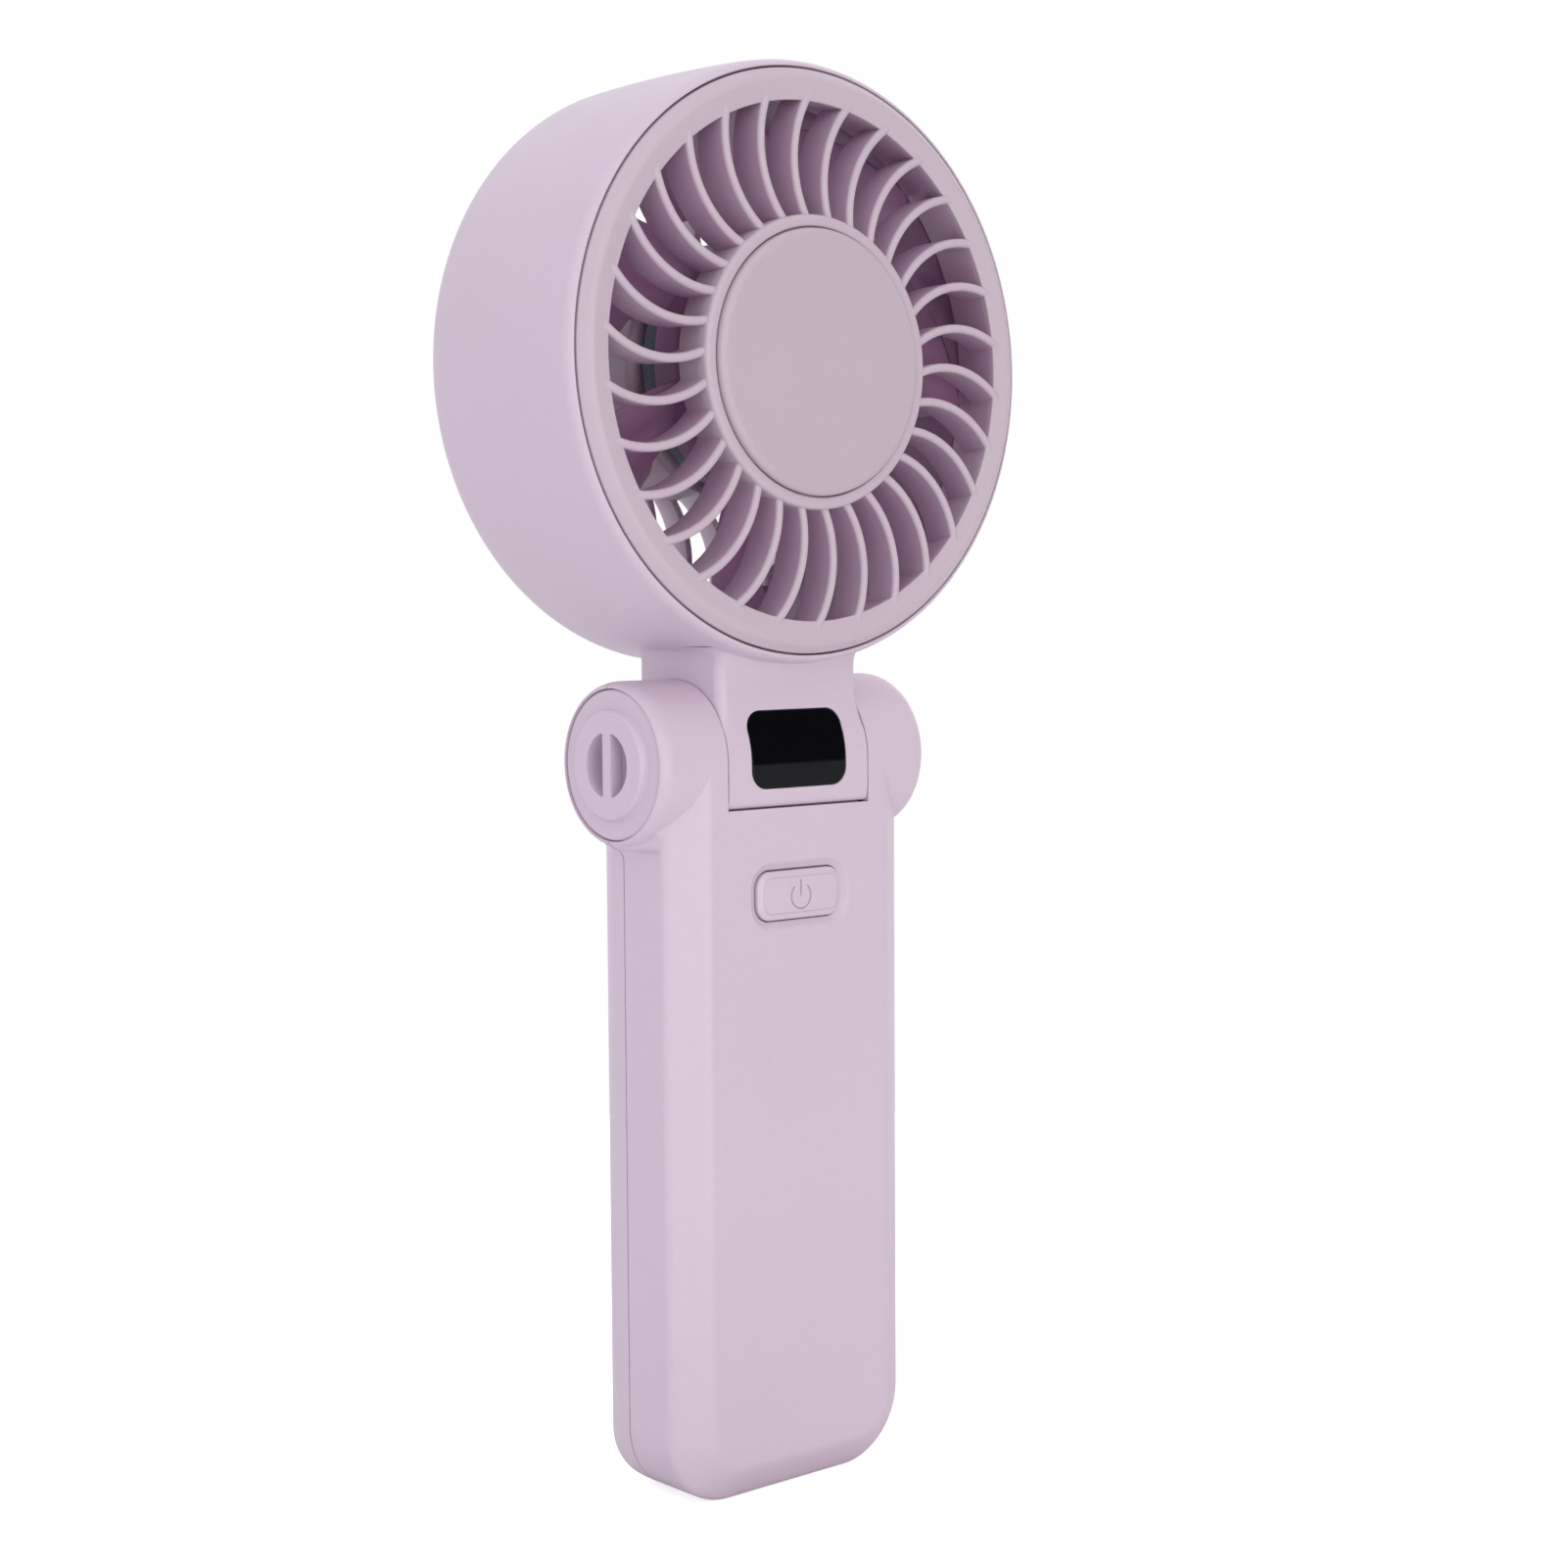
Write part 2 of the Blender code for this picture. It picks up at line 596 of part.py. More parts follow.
def make_motor(rotor_pivot, head_pivot, steel, magnet, copper, board):
    front, back = CAN
    can = [
        (CAN_R, depth(back)), (CAN_R, depth(front + 0.8)), (CAN_R - 0.8, depth(front)),
        (SHAFT_R + GAP, depth(front)), (SHAFT_R + GAP, depth(front + CAN_WALL)),
        (CAN_R - CAN_WALL, depth(front + CAN_WALL)), (CAN_R - CAN_WALL, depth(back)),
    ]
    mesh_object("rotor_can", *turned(can, "Y", HEAD_CENTRE, MEDIUM), rotor_pivot, steel)
    low, high, outer, inner = MAGNET
    ring = [(outer, depth(low)), (outer, depth(high)), (inner, depth(high)), (inner, depth(low))]
    mesh_object("magnet_ring", *turned(ring, "Y", HEAD_CENTRE, MEDIUM), rotor_pivot, magnet)
    shaft = [(0.0, depth(FAN_HUB[0] + 0.3)), (SHAFT_R, depth(FAN_HUB[0] + 0.3)),
             (SHAFT_R, depth(NACELLE_FRONT + 1.0)), (0.0, depth(NACELLE_FRONT + 1.0))]
    mesh_object("motor_shaft", *turned(shaft, "Y", HEAD_CENTRE, TINY), rotor_pivot, steel)

    low, high, radius = STATOR
    outline = []
    for k in range(STATOR_TEETH):
        middle = 360 * k / STATOR_TEETH
        for r, offset in ((8.0, -14), (12.6, -8), (12.6, -17), (radius, -16), (radius, 0), (radius, 16),
                          (12.6, 17), (12.6, 8), (8.0, 14)):
            a = math.radians(middle + offset)
            outline.append((r * math.cos(a), r * math.sin(a)))
    iron = slab(outline, depth(low), depth(high), HEAD_CENTRE)
    core = mesh_object("motor_stator", *iron, head_pivot, copper)
    bore = [(0.0, depth(0)), (TUBE_R + GAP, depth(0)), (TUBE_R + GAP, depth(30)), (0.0, depth(30))]
    combine(core, "DIFFERENCE", helper("stator_bore", *turned(bore, "Y", HEAD_CENTRE, SMALL)))
    disc = [(13.5, depth(15.2)), (13.5, depth(16.4)), (6.6, depth(16.4)), (6.6, depth(15.2))]
    mesh_object("motor_board", *turned(disc, "Y", HEAD_CENTRE, MEDIUM), head_pivot, board)
    for name, start in (("bearing_front", 8.6), ("bearing_rear", 15.4)):
        race = [(TUBE_BORE_R - GAP, depth(start)), (TUBE_BORE_R - GAP, depth(start + 2.6)),
                (SHAFT_R + GAP, depth(start + 2.6)), (SHAFT_R + GAP, depth(start))]
        mesh_object(name, *turned(race, "Y", HEAD_CENTRE, SMALL), head_pivot, steel)


# Handle

def side_outline(inset, lift, corner, top, half):
    """The handle seen from the front, as (x, z): flat top, rounded bottom corners."""
    half, corner = half - inset, max(corner - inset, 0.8)
    right = arc((half - corner, lift + corner), (corner, corner), 0, -90, 5)
    return [(half, top)] + right + [(-x, z) for x, z in reversed(right)] + [(-half, top)]


def handle_sections(shrink, top):
    """Front-view outlines from front to back, each with its Y; shrink makes the inner cavity."""
    side, lift, deep = FRONT_CHAMFER
    front, back = HANDLE_FRONT_Y + shrink, HANDLE_BACK_Y - shrink
    bend, base_bend = BACK_ROUND - shrink, BASE_BACK_ROUND - shrink
    stations = [(front, side + 0.2 * shrink, lift + 0.2 * shrink)]
    stations.append((HANDLE_FRONT_Y + deep + 0.25 * shrink, 0.0, 0.0))
    stations.append((back - bend, 0.0, 0.0))
    for k in range(1, 6):
        angle = math.radians(18 * k)
        y = back - bend + bend * math.sin(angle)
        under = max(0.0, (y - (back - base_bend)) / base_bend)
        rise = base_bend * (1 - math.sqrt(1 - min(under, 1.0) ** 2))
        stations.append((y, bend * (1 - math.cos(angle)), rise))
    corner = BASE_CORNER - shrink
    half = HANDLE_HALF - shrink
    return [[(x, y, z) for x, z in side_outline(inset, lift + shrink, corner, top, half)]
            for y, inset, lift in stations]


def ear(sign):
    edge = EAR_OUTER - EAR_ROUND
    rim = [(r, sign * x) for x, r in arc((edge, KNUCKLE_R - EAR_ROUND), (EAR_ROUND, EAR_ROUND), 90, 0, 3)]
    root = sign * (EAR_INNER - 1)
    return turned([(0.0, root), (KNUCKLE_R, root)] + rim + [(0.0, sign * EAR_OUTER)], "X", HINGE)


def ear_cavity(sign):
    """Seat for the cap, room for the pin's head, and the pin's bore."""
    seat = EAR_OUTER - CAP_THICK - GAP
    wall = EAR_INNER + EAR_WALL
    bore = PIN_R + GAP
    rim = CAP_R + GAP / 2
    steps = [(0.0, EAR_OUTER + 3), (rim, EAR_OUTER + 3), (rim, seat), (EAR_CAVITY_R, seat),
             (EAR_CAVITY_R, wall), (bore, wall), (bore, EAR_INNER - 1), (0.0, EAR_INNER - 1)]
    return turned([(r, sign * x) for r, x in steps], "X", HINGE, MEDIUM, math.radians(1.3))


def make_covers(front_colour, back_colour):
    ears = [helper(f"ear_{name}", *ear(sign)) for name, sign in (("left", -1), ("right", 1))]
    rooms = helper("ear_rooms", *many(ear_cavity(sign) for sign in (-1, 1)))
    front_r, front_end = TROUGH_FRONT
    front_dip = math.degrees(math.asin((COVER_TOP_Z - HINGE_Z) / front_r))
    back_dip = math.degrees(math.asin((BACK_COVER_TOP_Z - HINGE_Z) / TROUGH_R))
    trough = arc(HINGE, (front_r, front_r), -180 - front_dip, front_end - 180, 5)
    trough += arc(HINGE, (TROUGH_R, TROUGH_R), front_end - 170, back_dip, 9)
    around_barrel = [(-30, 130), (-30, COVER_TOP_Z), *trough, (30, BACK_COVER_TOP_Z), (30, 130)]
    saddle = helper("saddle", *loft([[(x, y, z) for y, z in around_barrel] for x in (-EAR_INNER, EAR_INNER)]))
    cavity = helper("cavity", *loft(handle_sections(WALL, CAVITY_TOP_Z)))
    parts = {"front_cover": (-40.0, SPLIT_Y - GAP / 2, front_colour),
             "rear_cover": (SPLIT_Y + GAP / 2, 40.0, back_colour)}
    covers = {}
    for name, (y0, y1, colour) in parts.items():
        cover = mesh_object(name, *loft(handle_sections(0.0, HANDLE_TOP_Z)), None, colour)
        combine(cover, "UNION", *ears)
        combine(cover, "DIFFERENCE", saddle, cavity, rooms)
        combine(cover, "INTERSECT", helper(f"{name}_side", *box((-40, y0, -5), (40, y1, 130))))
        weld(cover)
        covers[name] = cover

    width, height = BUTTON
    around, down = BUTTON_GROOVE
    hole = rounded(width / 2 + GAP, height / 2 + GAP, BUTTON_CORNER + GAP)
    face = rounded(width / 2 + around, height / 2 + around, BUTTON_CORNER + around)
    floor = rounded(width / 2 + GAP + 0.25, height / 2 + GAP + 0.25, BUTTON_CORNER + GAP + 0.25)
    mouth = rounded(width / 2 + around * 1.4, height / 2 + around * 1.4, BUTTON_CORNER + around)
    levels = ((mouth, HANDLE_FRONT_Y - 0.3), (face, HANDLE_FRONT_Y), (floor, HANDLE_FRONT_Y + down))
    groove = loft([[(x, y, BUTTON_Z + z) for x, z in ring] for ring, y in levels])
    combine(covers["front_cover"], "DIFFERENCE", helper("button_groove", *groove),
            helper("button_hole", *slab(hole, HANDLE_FRONT_Y - 3, HANDLE_FRONT_Y + 4, (0.0, BUTTON_Z))),
            helper("usb_hole", *usb_outline(GAP, -3.0, 8.0)))
    boss = many(turned([(0.0, HANDLE_FRONT_Y + 1.2), (2.3, HANDLE_FRONT_Y + 1.2), (2.3, BOARD_Y - GAP),
                        (0.0, BOARD_Y - GAP)], "Y", spot, TINY) for spot in screw_spots())
    combine(covers["front_cover"], "UNION", helper("bosses", *boss))
    holes = many(turned([(0.0, BOARD_Y - 3.2), (1.1, BOARD_Y - 3.2), (1.1, BOARD_Y + 1), (0.0, BOARD_Y + 1)],
                        "Y", spot, TINY) for spot in screw_spots())
    combine(covers["front_cover"], "DIFFERENCE", helper("boss_holes", *holes))


def screw_spots():
    """(x, z) of the main board's four screws."""
    across, up = BOARD[0] / 2 - 3.0, BOARD[1]
    return [(x, BOARD_Z + z) for z in (9.0, up - 18.0) for x in (-across, across)]


def make_caps(left_colour, right_colour):
    """Round caps over the ears, each with two slots either side of a bar for a wrist strap."""
    for name, sign, colour in (("left_cap", -1, left_colour), ("right_cap", 1, right_colour)):
        face, back = EAR_OUTER, EAR_OUTER - CAP_THICK
        boss = face + CAP_BOSS
        cup = CAP_SLOT_R + 1.3
        steps = [(0.0, boss), (CAP_BOSS_R - 0.6, boss), (CAP_BOSS_R - 0.1, boss - 0.3), (CAP_BOSS_R, face),
                 (CAP_R - 0.15, face), (CAP_R, face - 0.2), (CAP_R, back), (cup, back), (cup, back - 3.2),
                 (0.0, back - 3.2)]
        shape = turned([(r, sign * x) for r, x in steps], "X", HINGE, MEDIUM)
        cap = mesh_object(name, *shape, None, colour)
        floor = face - CAP_HOLLOW
        hollow = [(0.0, face - 1.0), (CAP_SLOT_R, face - 1.0), (CAP_SLOT_R, floor + 0.8),
                  (CAP_SLOT_R - 1.2, floor), (0.0, floor)]
        hollow_shape = turned([(r, sign * x) for r, x in hollow], "X", HINGE, SMALL)
        tilt = math.degrees(math.acos(CAP_BAR / 2 / CAP_SLOT_R))
        slots = []
        for side in (-1, 1):
            outline = [(side * a, b) for a, b in arc((0, 0), (CAP_SLOT_R, CAP_SLOT_R), -tilt, tilt, 6)]
            slots.append(loft([[(sign * x, HINGE_Y + a, HINGE_Z + b) for a, b in outline]
                               for x in (face - 1.3, boss + 1)]))
        combine(cap, "DIFFERENCE", helper(f"{name}_hollow", *hollow_shape),
                helper(f"{name}_slots", *many(slots)))


def make_hinge_pins(steel, washer):
    wall = EAR_INNER + EAR_WALL
    for name, sign in (("left", -1), ("right", 1)):
        under = wall + 1.9
        pin = [(0.0, PIN_END), (PIN_R, PIN_END), (PIN_R, under), (PIN_HEAD_R, under),
               (PIN_HEAD_R, under + 1.5), (PIN_HEAD_R - 0.6, under + 2.0), (0.0, under + 2.0)]
        shape = turned([(r, sign * x) for r, x in pin], "X", HINGE, SMALL)
        mesh_object(f"hinge_pin_{name}", *shape, None, steel)
        ring = [(PIN_R + GAP, wall + GAP), (WASHER_R, wall + GAP), (WASHER_R, under - GAP),
                (PIN_R + GAP, under - GAP)]
        shape = turned([(r, sign * x) for r, x in ring], "X", HINGE, SMALL)
        mesh_object(f"friction_washer_{name}", *shape, None, washer)


def make_button(pivot, colour):
    width, height = BUTTON
    face = HANDLE_FRONT_Y - BUTTON_FACE
    back = HANDLE_FRONT_Y + WALL + GAP
    chamfer = 0.7
    rings = [
        (rounded(width / 2 - chamfer, height / 2 - chamfer, BUTTON_CORNER - 0.6), face),
        (rounded(width / 2, height / 2, BUTTON_CORNER), face + 0.6),
        (rounded(width / 2, height / 2, BUTTON_CORNER), back),
        (rounded(width / 2 + 0.9, height / 2 + 0.9, BUTTON_CORNER + 0.9), back),
        (rounded(width / 2 + 0.9, height / 2 + 0.9, BUTTON_CORNER + 0.9), back + 0.9),
    ]
    shape = loft([[(x, y, BUTTON_Z + z) for x, z in ring] for ring, y in rings])
    mesh_object("power_button", *shape, pivot, colour)


def usb_outline(grow, z0, z1):
    wide, thick, _ = USB
    outline = rounded(wide / 2 + grow, thick / 2 + grow, USB_CORNER + grow, 3)
    return loft([[(x, USB_Y + y, z) for x, y in outline] for z in (z0, z1)])


def make_internals(board_colour, cell_colour, foam_colour, steel, black):
    wide, tall, thick = BOARD
    middle = BOARD_Z + tall / 2
    plate = slab(rounded(wide / 2, tall / 2, 1.0, 1), BOARD_Y, BOARD_Y + thick, (0.0, middle))
    board = mesh_object("main_board", *plate, None, board_colour)
    holes = many(turned([(0.0, BOARD_Y - 3), (1.3, BOARD_Y - 3), (1.3, BOARD_Y + 4), (0.0, BOARD_Y + 4)],
                        "Y", spot, TINY) for spot in screw_spots())
    combine(board, "DIFFERENCE", helper("board_holes", *holes))
    for number, spot in enumerate(screw_spots(), 1):
        top = BOARD_Y + thick + GAP
        shape = [(0.0, BOARD_Y - 2.6), (0.8, BOARD_Y - 2.6), (0.8, top), (1.8, top), (1.8, top + 0.6),
                 (1.2, top + 1.1), (0.0, top + 1.1)]
        mesh_object(f"board_screw_{number}", *turned(shape, "Y", spot, TINY), None, steel)
    switch_back = BOARD_Y - GAP
    stem = HANDLE_FRONT_Y + WALL + GAP + 0.9 + BUTTON_TRAVEL + 0.2
    switch = [(2.0, switch_back), (2.0, switch_back - 1.0), (1.2, switch_back - 1.0), (1.2, stem),
              (0.0, stem), (0.0, switch_back)]
    mesh_object("tact_switch", *turned(switch, "Y", (0.0, BOARD_Z + tall - 2.6), TINY), None, black)
    wide, thick, tall = BATTERY
    start = BOARD_Y + 3.3
    cell_centre = (0.0, BATTERY_Z + tall / 2)
    cell = slab(rounded(wide / 2, tall / 2, 2.0, 2), start, start + thick, cell_centre)
    mesh_object("battery_pack", *cell, None, cell_colour)
    pad_front = start + thick + GAP
    pad = slab(rounded(10.0, 20.0, 1.0, 1), pad_front, pad_front + FOAM_THICK, cell_centre)
    mesh_object("foam_pad", *pad, None, foam_colour)
    length = USB[2]
    port = mesh_object("usb_c_port", *usb_outline(0.0, 0.5, 0.5 + length), None, steel)
    combine(port, "DIFFERENCE", helper("usb_mouth", *usb_outline(-GAP, -1.0, length - 0.6)))
    tongue = box((-3.2, USB_Y - 0.35, 1.3), (3.2, USB_Y + 0.35, length - 0.9))
    mesh_object("usb_c_tongue", *tongue, None, black)


def main():
    clear_scene()
    head = make_pivot("head_pivot", (0.0, HINGE_Y, HINGE_Z))
    grille = make_pivot("grille_pivot", (0.0, DRUM_FRONT_Y, HEAD_Z), head)
    rotor = make_pivot("impeller_pivot", (0.0, depth(CAN[0]), HEAD_Z), head)
    press = make_pivot("button_pivot", (0.0, HANDLE_FRONT_Y, BUTTON_Z))

    shell = (LILAC, 0.45)
    light = (LILAC_LIGHT, 0.5)
    steel = ((0.55, 0.55, 0.57), 0.3, 1.0)
    dark_steel = ((0.08, 0.08, 0.11), 0.35, 0.9)
    black = ((0.012, 0.012, 0.014), 0.4)
    gloss = ((0.005, 0.006, 0.008), 0.08)
    circuit = ((0.02, 0.09, 0.045), 0.5)
    copper = ((0.45, 0.2, 0.09), 0.4, 0.8)
    brass = ((0.5, 0.36, 0.14), 0.4, 0.9)

    make_head_shell(head, shell)
    make_rear_grille(head, shell)
    make_rear_cap(head, light)
    make_display(head, gloss, circuit)
    make_front_grille(grille, light)
    make_hub_disc(grille, light)
    make_impeller(rotor, shell)
    make_motor(rotor, head, dark_steel, black, copper, circuit)
    make_covers(shell, shell)
    make_caps(light, light)
    make_hinge_pins(steel, brass)
    make_button(press, light)
    make_internals(circuit, ((0.10, 0.12, 0.16), 0.5), ((0.03, 0.03, 0.03), 0.9), steel, black)


main()
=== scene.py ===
"""Looks for the folding handheld fan: finely shaped visible pieces, materials, studio and camera.

The pieces are made in world millimetres, like the CAD's, and scaled to metres as they are made.
Front is -Y and up is +Z.
"""

import json
import math

import bmesh
import bpy
from mathutils import Matrix, Vector


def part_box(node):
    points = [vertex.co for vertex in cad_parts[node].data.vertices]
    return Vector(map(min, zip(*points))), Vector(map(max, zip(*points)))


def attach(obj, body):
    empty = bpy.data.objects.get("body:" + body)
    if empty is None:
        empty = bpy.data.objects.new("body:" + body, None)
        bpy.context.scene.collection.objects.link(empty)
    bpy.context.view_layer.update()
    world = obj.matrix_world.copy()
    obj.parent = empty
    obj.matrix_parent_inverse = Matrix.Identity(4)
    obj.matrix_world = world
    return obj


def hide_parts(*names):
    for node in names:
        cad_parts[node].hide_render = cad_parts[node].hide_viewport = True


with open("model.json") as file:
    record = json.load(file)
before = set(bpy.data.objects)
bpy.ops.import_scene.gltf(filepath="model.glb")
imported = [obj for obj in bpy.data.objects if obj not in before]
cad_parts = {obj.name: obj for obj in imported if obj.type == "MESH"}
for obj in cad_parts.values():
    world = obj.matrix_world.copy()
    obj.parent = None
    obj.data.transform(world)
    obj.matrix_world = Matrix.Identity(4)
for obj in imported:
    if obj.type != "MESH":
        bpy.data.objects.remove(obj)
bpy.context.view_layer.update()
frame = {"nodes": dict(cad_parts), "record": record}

MM = 0.001
JOINTS = {joint["name"]: joint for joint in frame["record"]["behaviour"]["joints"]}


def in_mm(values):
    return [value / MM for value in values]


def cad_box(node):
    """Lowest and highest corner of a CAD node, in millimetres."""
    return [in_mm(corner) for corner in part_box(node)]


# Places taken from the frame
HINGE_Y, HINGE_Z = in_mm(JOINTS["head_fold"]["pos_m"])[1:]
HEAD_Z = in_mm(JOINTS["impeller_spin"]["pos_m"])[2]
SEAM_Y = in_mm(JOINTS["front_grille_twist"]["pos_m"])[1]
DRUM_BACK_Y = cad_box("head_shell")[1][1]
HANDLE_FRONT_Y = cad_box("front_cover")[0][1]
HANDLE_BACK_Y = cad_box("rear_cover")[1][1]
BUTTON_Z = (cad_box("power_button")[0][2] + cad_box("power_button")[1][2]) / 2
HINGE = (HINGE_Y, HINGE_Z)
HEAD_CENTRE = (0.0, HEAD_Z)

# Fineness
LARGE_ROUND = 240
ROUND = 192
SMALL_ROUND = 96
SEAM_GAP = 0.16  # width of the lines between mouldings that touch
GRILLE_SEAM = 0.28

# Head
DRUM_R = 41.2
DRUM_BULGE = 0.48
DRUM_LIP = (1.1, 2.0)
DRUM_BACK_ROUND = 5.0
SEAM_R = 40.0
DUCT_R = 37.4
BAYONET_R = 38.6
BAYONET_DEPTH = 8.2
KNUCKLE_R = 11.5
KNUCKLE_HALF = 12.93
NECK_BACK_Y = 7.1
NECK_EDGE = 1.5  # rounding of the neck's upright edges
NECK_EDGE_FROM = (3.5, 9.0)  # above the hinge axis, where that rounding sets in
CURVE_STEPS = 4
NECK_TOP = 20.0  # above the hinge axis, inside the drum
HEAD_FRONT = (
    # (y, z from the hinge axis) up the front of barrel and neck
    (-11.0, -6.22), (-12.2, -6.2), (-12.62, -5.9), (-12.88, -5.2), (-13.0, -3.6),
    (-13.0, -1.6), (-12.97, 0.4), (-12.8, 2.0), (-12.4, 3.6), (-12.02, 4.64),
    (-11.65, 6.15), (-11.4, 7.5), (-11.15, 9.2), (-11.0, 10.8),
)
FLARE_DROP = 2.9  # start of the hollow blend of neck into drum, below the drum
FLARE_RISE = 4.0
FLARE_FORWARD = 3.4
NECK_FILLET = 2.0  # at the neck's sides

# Arrow moulded on the duct wall
MARK_ANGLE = math.radians(55.7)
MARK_DEPTH = 19.6
MARK_SIZE = 1.9
MARK_HOLLOW = 1.25
MARK_HEIGHT = 0.28

# Grille
RING_CREST_R = 38.1
RING_CREST = 1.4
RING_INNER_R = 35.4
RING_INNER = 1.0
HUB_R = 20.1
HUB_FRONT = 2.3
DISC_R = 18.22
DISC_FRONT = 3.2
VANE_COUNT = 30
VANE_ARC_R = 15.5
VANE_HUB_LEAD = 3.6
VANE_FIRST = 6.0
VANE_HALF = 0.62
VANE_BACK = 4.4
VANE_TAPER = 0.75  # thickness at the back as a share of that at the front
VANE_ROUND = 0.6  # depth of the rounded front edge

# Rear
REAR_RING_R = 36.0
REAR_RING_INNER_R = 34.2
REAR_VANE_COUNT = 24
REAR_VANE_DEPTH = 5.0
NACELLE_R = 17.9
NACELLE_WALL = 1.5
NACELLE_FRONT = 17.2
TUBE_R = 4.6
TUBE_BORE_R = 3.2
TUBE_FRONT = 8.2

# Impeller and motor
FAN_HUB_R = 18.7
FAN_HUB = (4.9, 10.6)
BLADE_COUNT = 7
BLADE_TIP_R = 36.4
BLADE_SPAN = (5.6, 15.8)
BLADE_SWEEP = 34.0
BLADE_THICK = 1.3
BLADE_CAMBER = 5.0
BLADE_STATIONS = (
    # radius, rake in degrees, share of the full chord
    (FAN_HUB_R - 0.5, 0.0, 1.0), (24.0, 1.5, 0.92), (30.0, 4.5, 0.85), (BLADE_TIP_R, 9.0, 0.78),
)
BLADE_CLEAR_R = 22.5  # of the blades' roots behind the hub, so that the motor can stands free
CAN_R = 17.4
CAN = (6.8, 14.8)

# Hinge and handle
EAR_INNER = 13.09
EAR_OUTER = 24.4
EAR_ROUND = (2.4, 0.95)  # of the ear's outer edge: sideways, radial
EAR_WALL = 2.2
EAR_ROOM_R = 8.6
PIN_BORE_R = 3.3
PIN_BORE_END = 9.2
CAP_R = 10.4
CAP_SEAT_R = 10.52
CAP_THICK = 1.8
CAP_BOSS_R = 7.5
CAP_BOSS = 0.8
CAP_SLOT_R = 4.5
CAP_CUP = (1.3, 3.2)  # behind the slots: wall, depth
CAP_BOWL = (0.9, 0.6, 1.9)  # hollow in that cup: front behind the face, straight wall, round bottom
CAP_BAR = 1.8
CAP_RECESS = 0.22  # of the cap's flat rim behind the ear's rim
HANDLE_HALF = 21.72
FRONT_CHAMFER = (5.05, 4.9, 3.6)
BACK_ROUND = 10.2
BASE_BACK_ROUND = 6.0
BASE_CORNER = 10.6
SPLIT_Y = -0.65
COVER_TOP_Z = 97.4
TROUGH_FRONT = (12.72, 64.0)  # radius under the barrel's flush front, and down to how many degrees
BACK_COVER_TOP_Z = 94.4
HANDLE_TOP_Z = 103.4
WALL = 1.8
CAVITY_TOP_Z = 90.4
EAR_FILLET = 2.1
EAR_FILLET_FRONT = (2.4, 7.5)  # behind the handle's front, where that fillet comes in
EAR_FILLET_BACK = (2.0, 7.5)  # along Y, where it fades out

# Window and button
WINDOW_HALF = 8.72
WINDOW_Z = (-3.56, 7.08)
WINDOW_CORNER = 2.5
WINDOW_THICK = 1.2
BUTTON = (15.6, 6.9)
BUTTON_CORNER = 2.4
BUTTON_GAP = 0.2
BUTTON_GROOVE = (1.4, 0.75)
BUTTON_EDGE = ((-1.02, 0.0), (-0.95, 0.08), (-0.88, 0.03), (-0.14, 0.34), (-0.04, 0.44), (0.0, 0.6))
SYMBOL_R = 1.8
SYMBOL_LINE = 0.2  # width and depth of the engraving
SYMBOL_OPEN = 41  # degrees either side of the top
SYMBOL_BAR = (0.05, 2.25)
SYMBOL_DROP = 0.25


# Camera

CAMERA_YAW = 41.277
CAMERA_PITCH = 4.063
CAMERA_ROLL = -0.378
CAMERA_SHIFT = (3.384, 57.905, 369.722)  # the grille's centre from the camera: right, up, ahead
CAMERA_LENS = 61.64147  # on a sensor 36 mm wide


def make_camera():
    yaw, pitch, roll = (math.radians(angle) for angle in (CAMERA_YAW, CAMERA_PITCH, CAMERA_ROLL))
    right = Vector((math.cos(yaw), -math.sin(yaw), 0.0))
    ahead = Vector((math.sin(yaw) * math.cos(pitch), math.cos(yaw) * math.cos(pitch), -math.sin(pitch)))
    up = right.cross(ahead)
    right, up = (math.cos(roll) * right + math.sin(roll) * up,
                 math.cos(roll) * up - math.sin(roll) * right)
    place = Vector((0.0, SEAM_Y, HEAD_Z))
    place -= CAMERA_SHIFT[0] * right + CAMERA_SHIFT[1] * up + CAMERA_SHIFT[2] * ahead
    data = bpy.data.cameras.new("camera")
    data.lens = CAMERA_LENS
    data.sensor_width = 36.0
    data.clip_start = 0.01
    data.clip_end = 20.0
    camera = bpy.data.objects.new("camera", data)
    turn = Matrix((right, up, -ahead)).transposed().to_4x4()
    camera.matrix_world = Matrix.Translation(place * MM) @ turn
    bpy.context.scene.collection.objects.link(camera)
    bpy.context.scene.camera = camera


make_camera()


# Meshes from points in millimetres

def make(name, points, faces):
    mesh = bpy.data.meshes.new(name)
    mesh.from_pydata([[value * MM for value in point] for point in points], [], faces)
    shape = bmesh.new()
    shape.from_mesh(mesh)
    bmesh.ops.recalc_face_normals(shape, faces=shape.faces)
    shape.to_mesh(mesh)
    shape.free()
    item = bpy.data.objects.new(name, mesh)
    bpy.context.scene.collection.objects.link(item)
    return item


def bake(item):
    """Applies an object's modifiers to its mesh."""
    graph = bpy.context.evaluated_depsgraph_get()
    mesh = bpy.data.meshes.new_from_object(item.evaluated_get(graph))
    item.modifiers.clear()
    item.data = mesh
    return item


def combine(target, operation, *others):
    """Joins or cuts solids; the others are used up."""
    for other in others:
        step = target.modifiers.new("join", "BOOLEAN")
        step.operation = operation
        step.solver = "MANIFOLD"
        step.object = other
        bake(target)
        bpy.data.objects.remove(other, do_unlink=True)
    return target


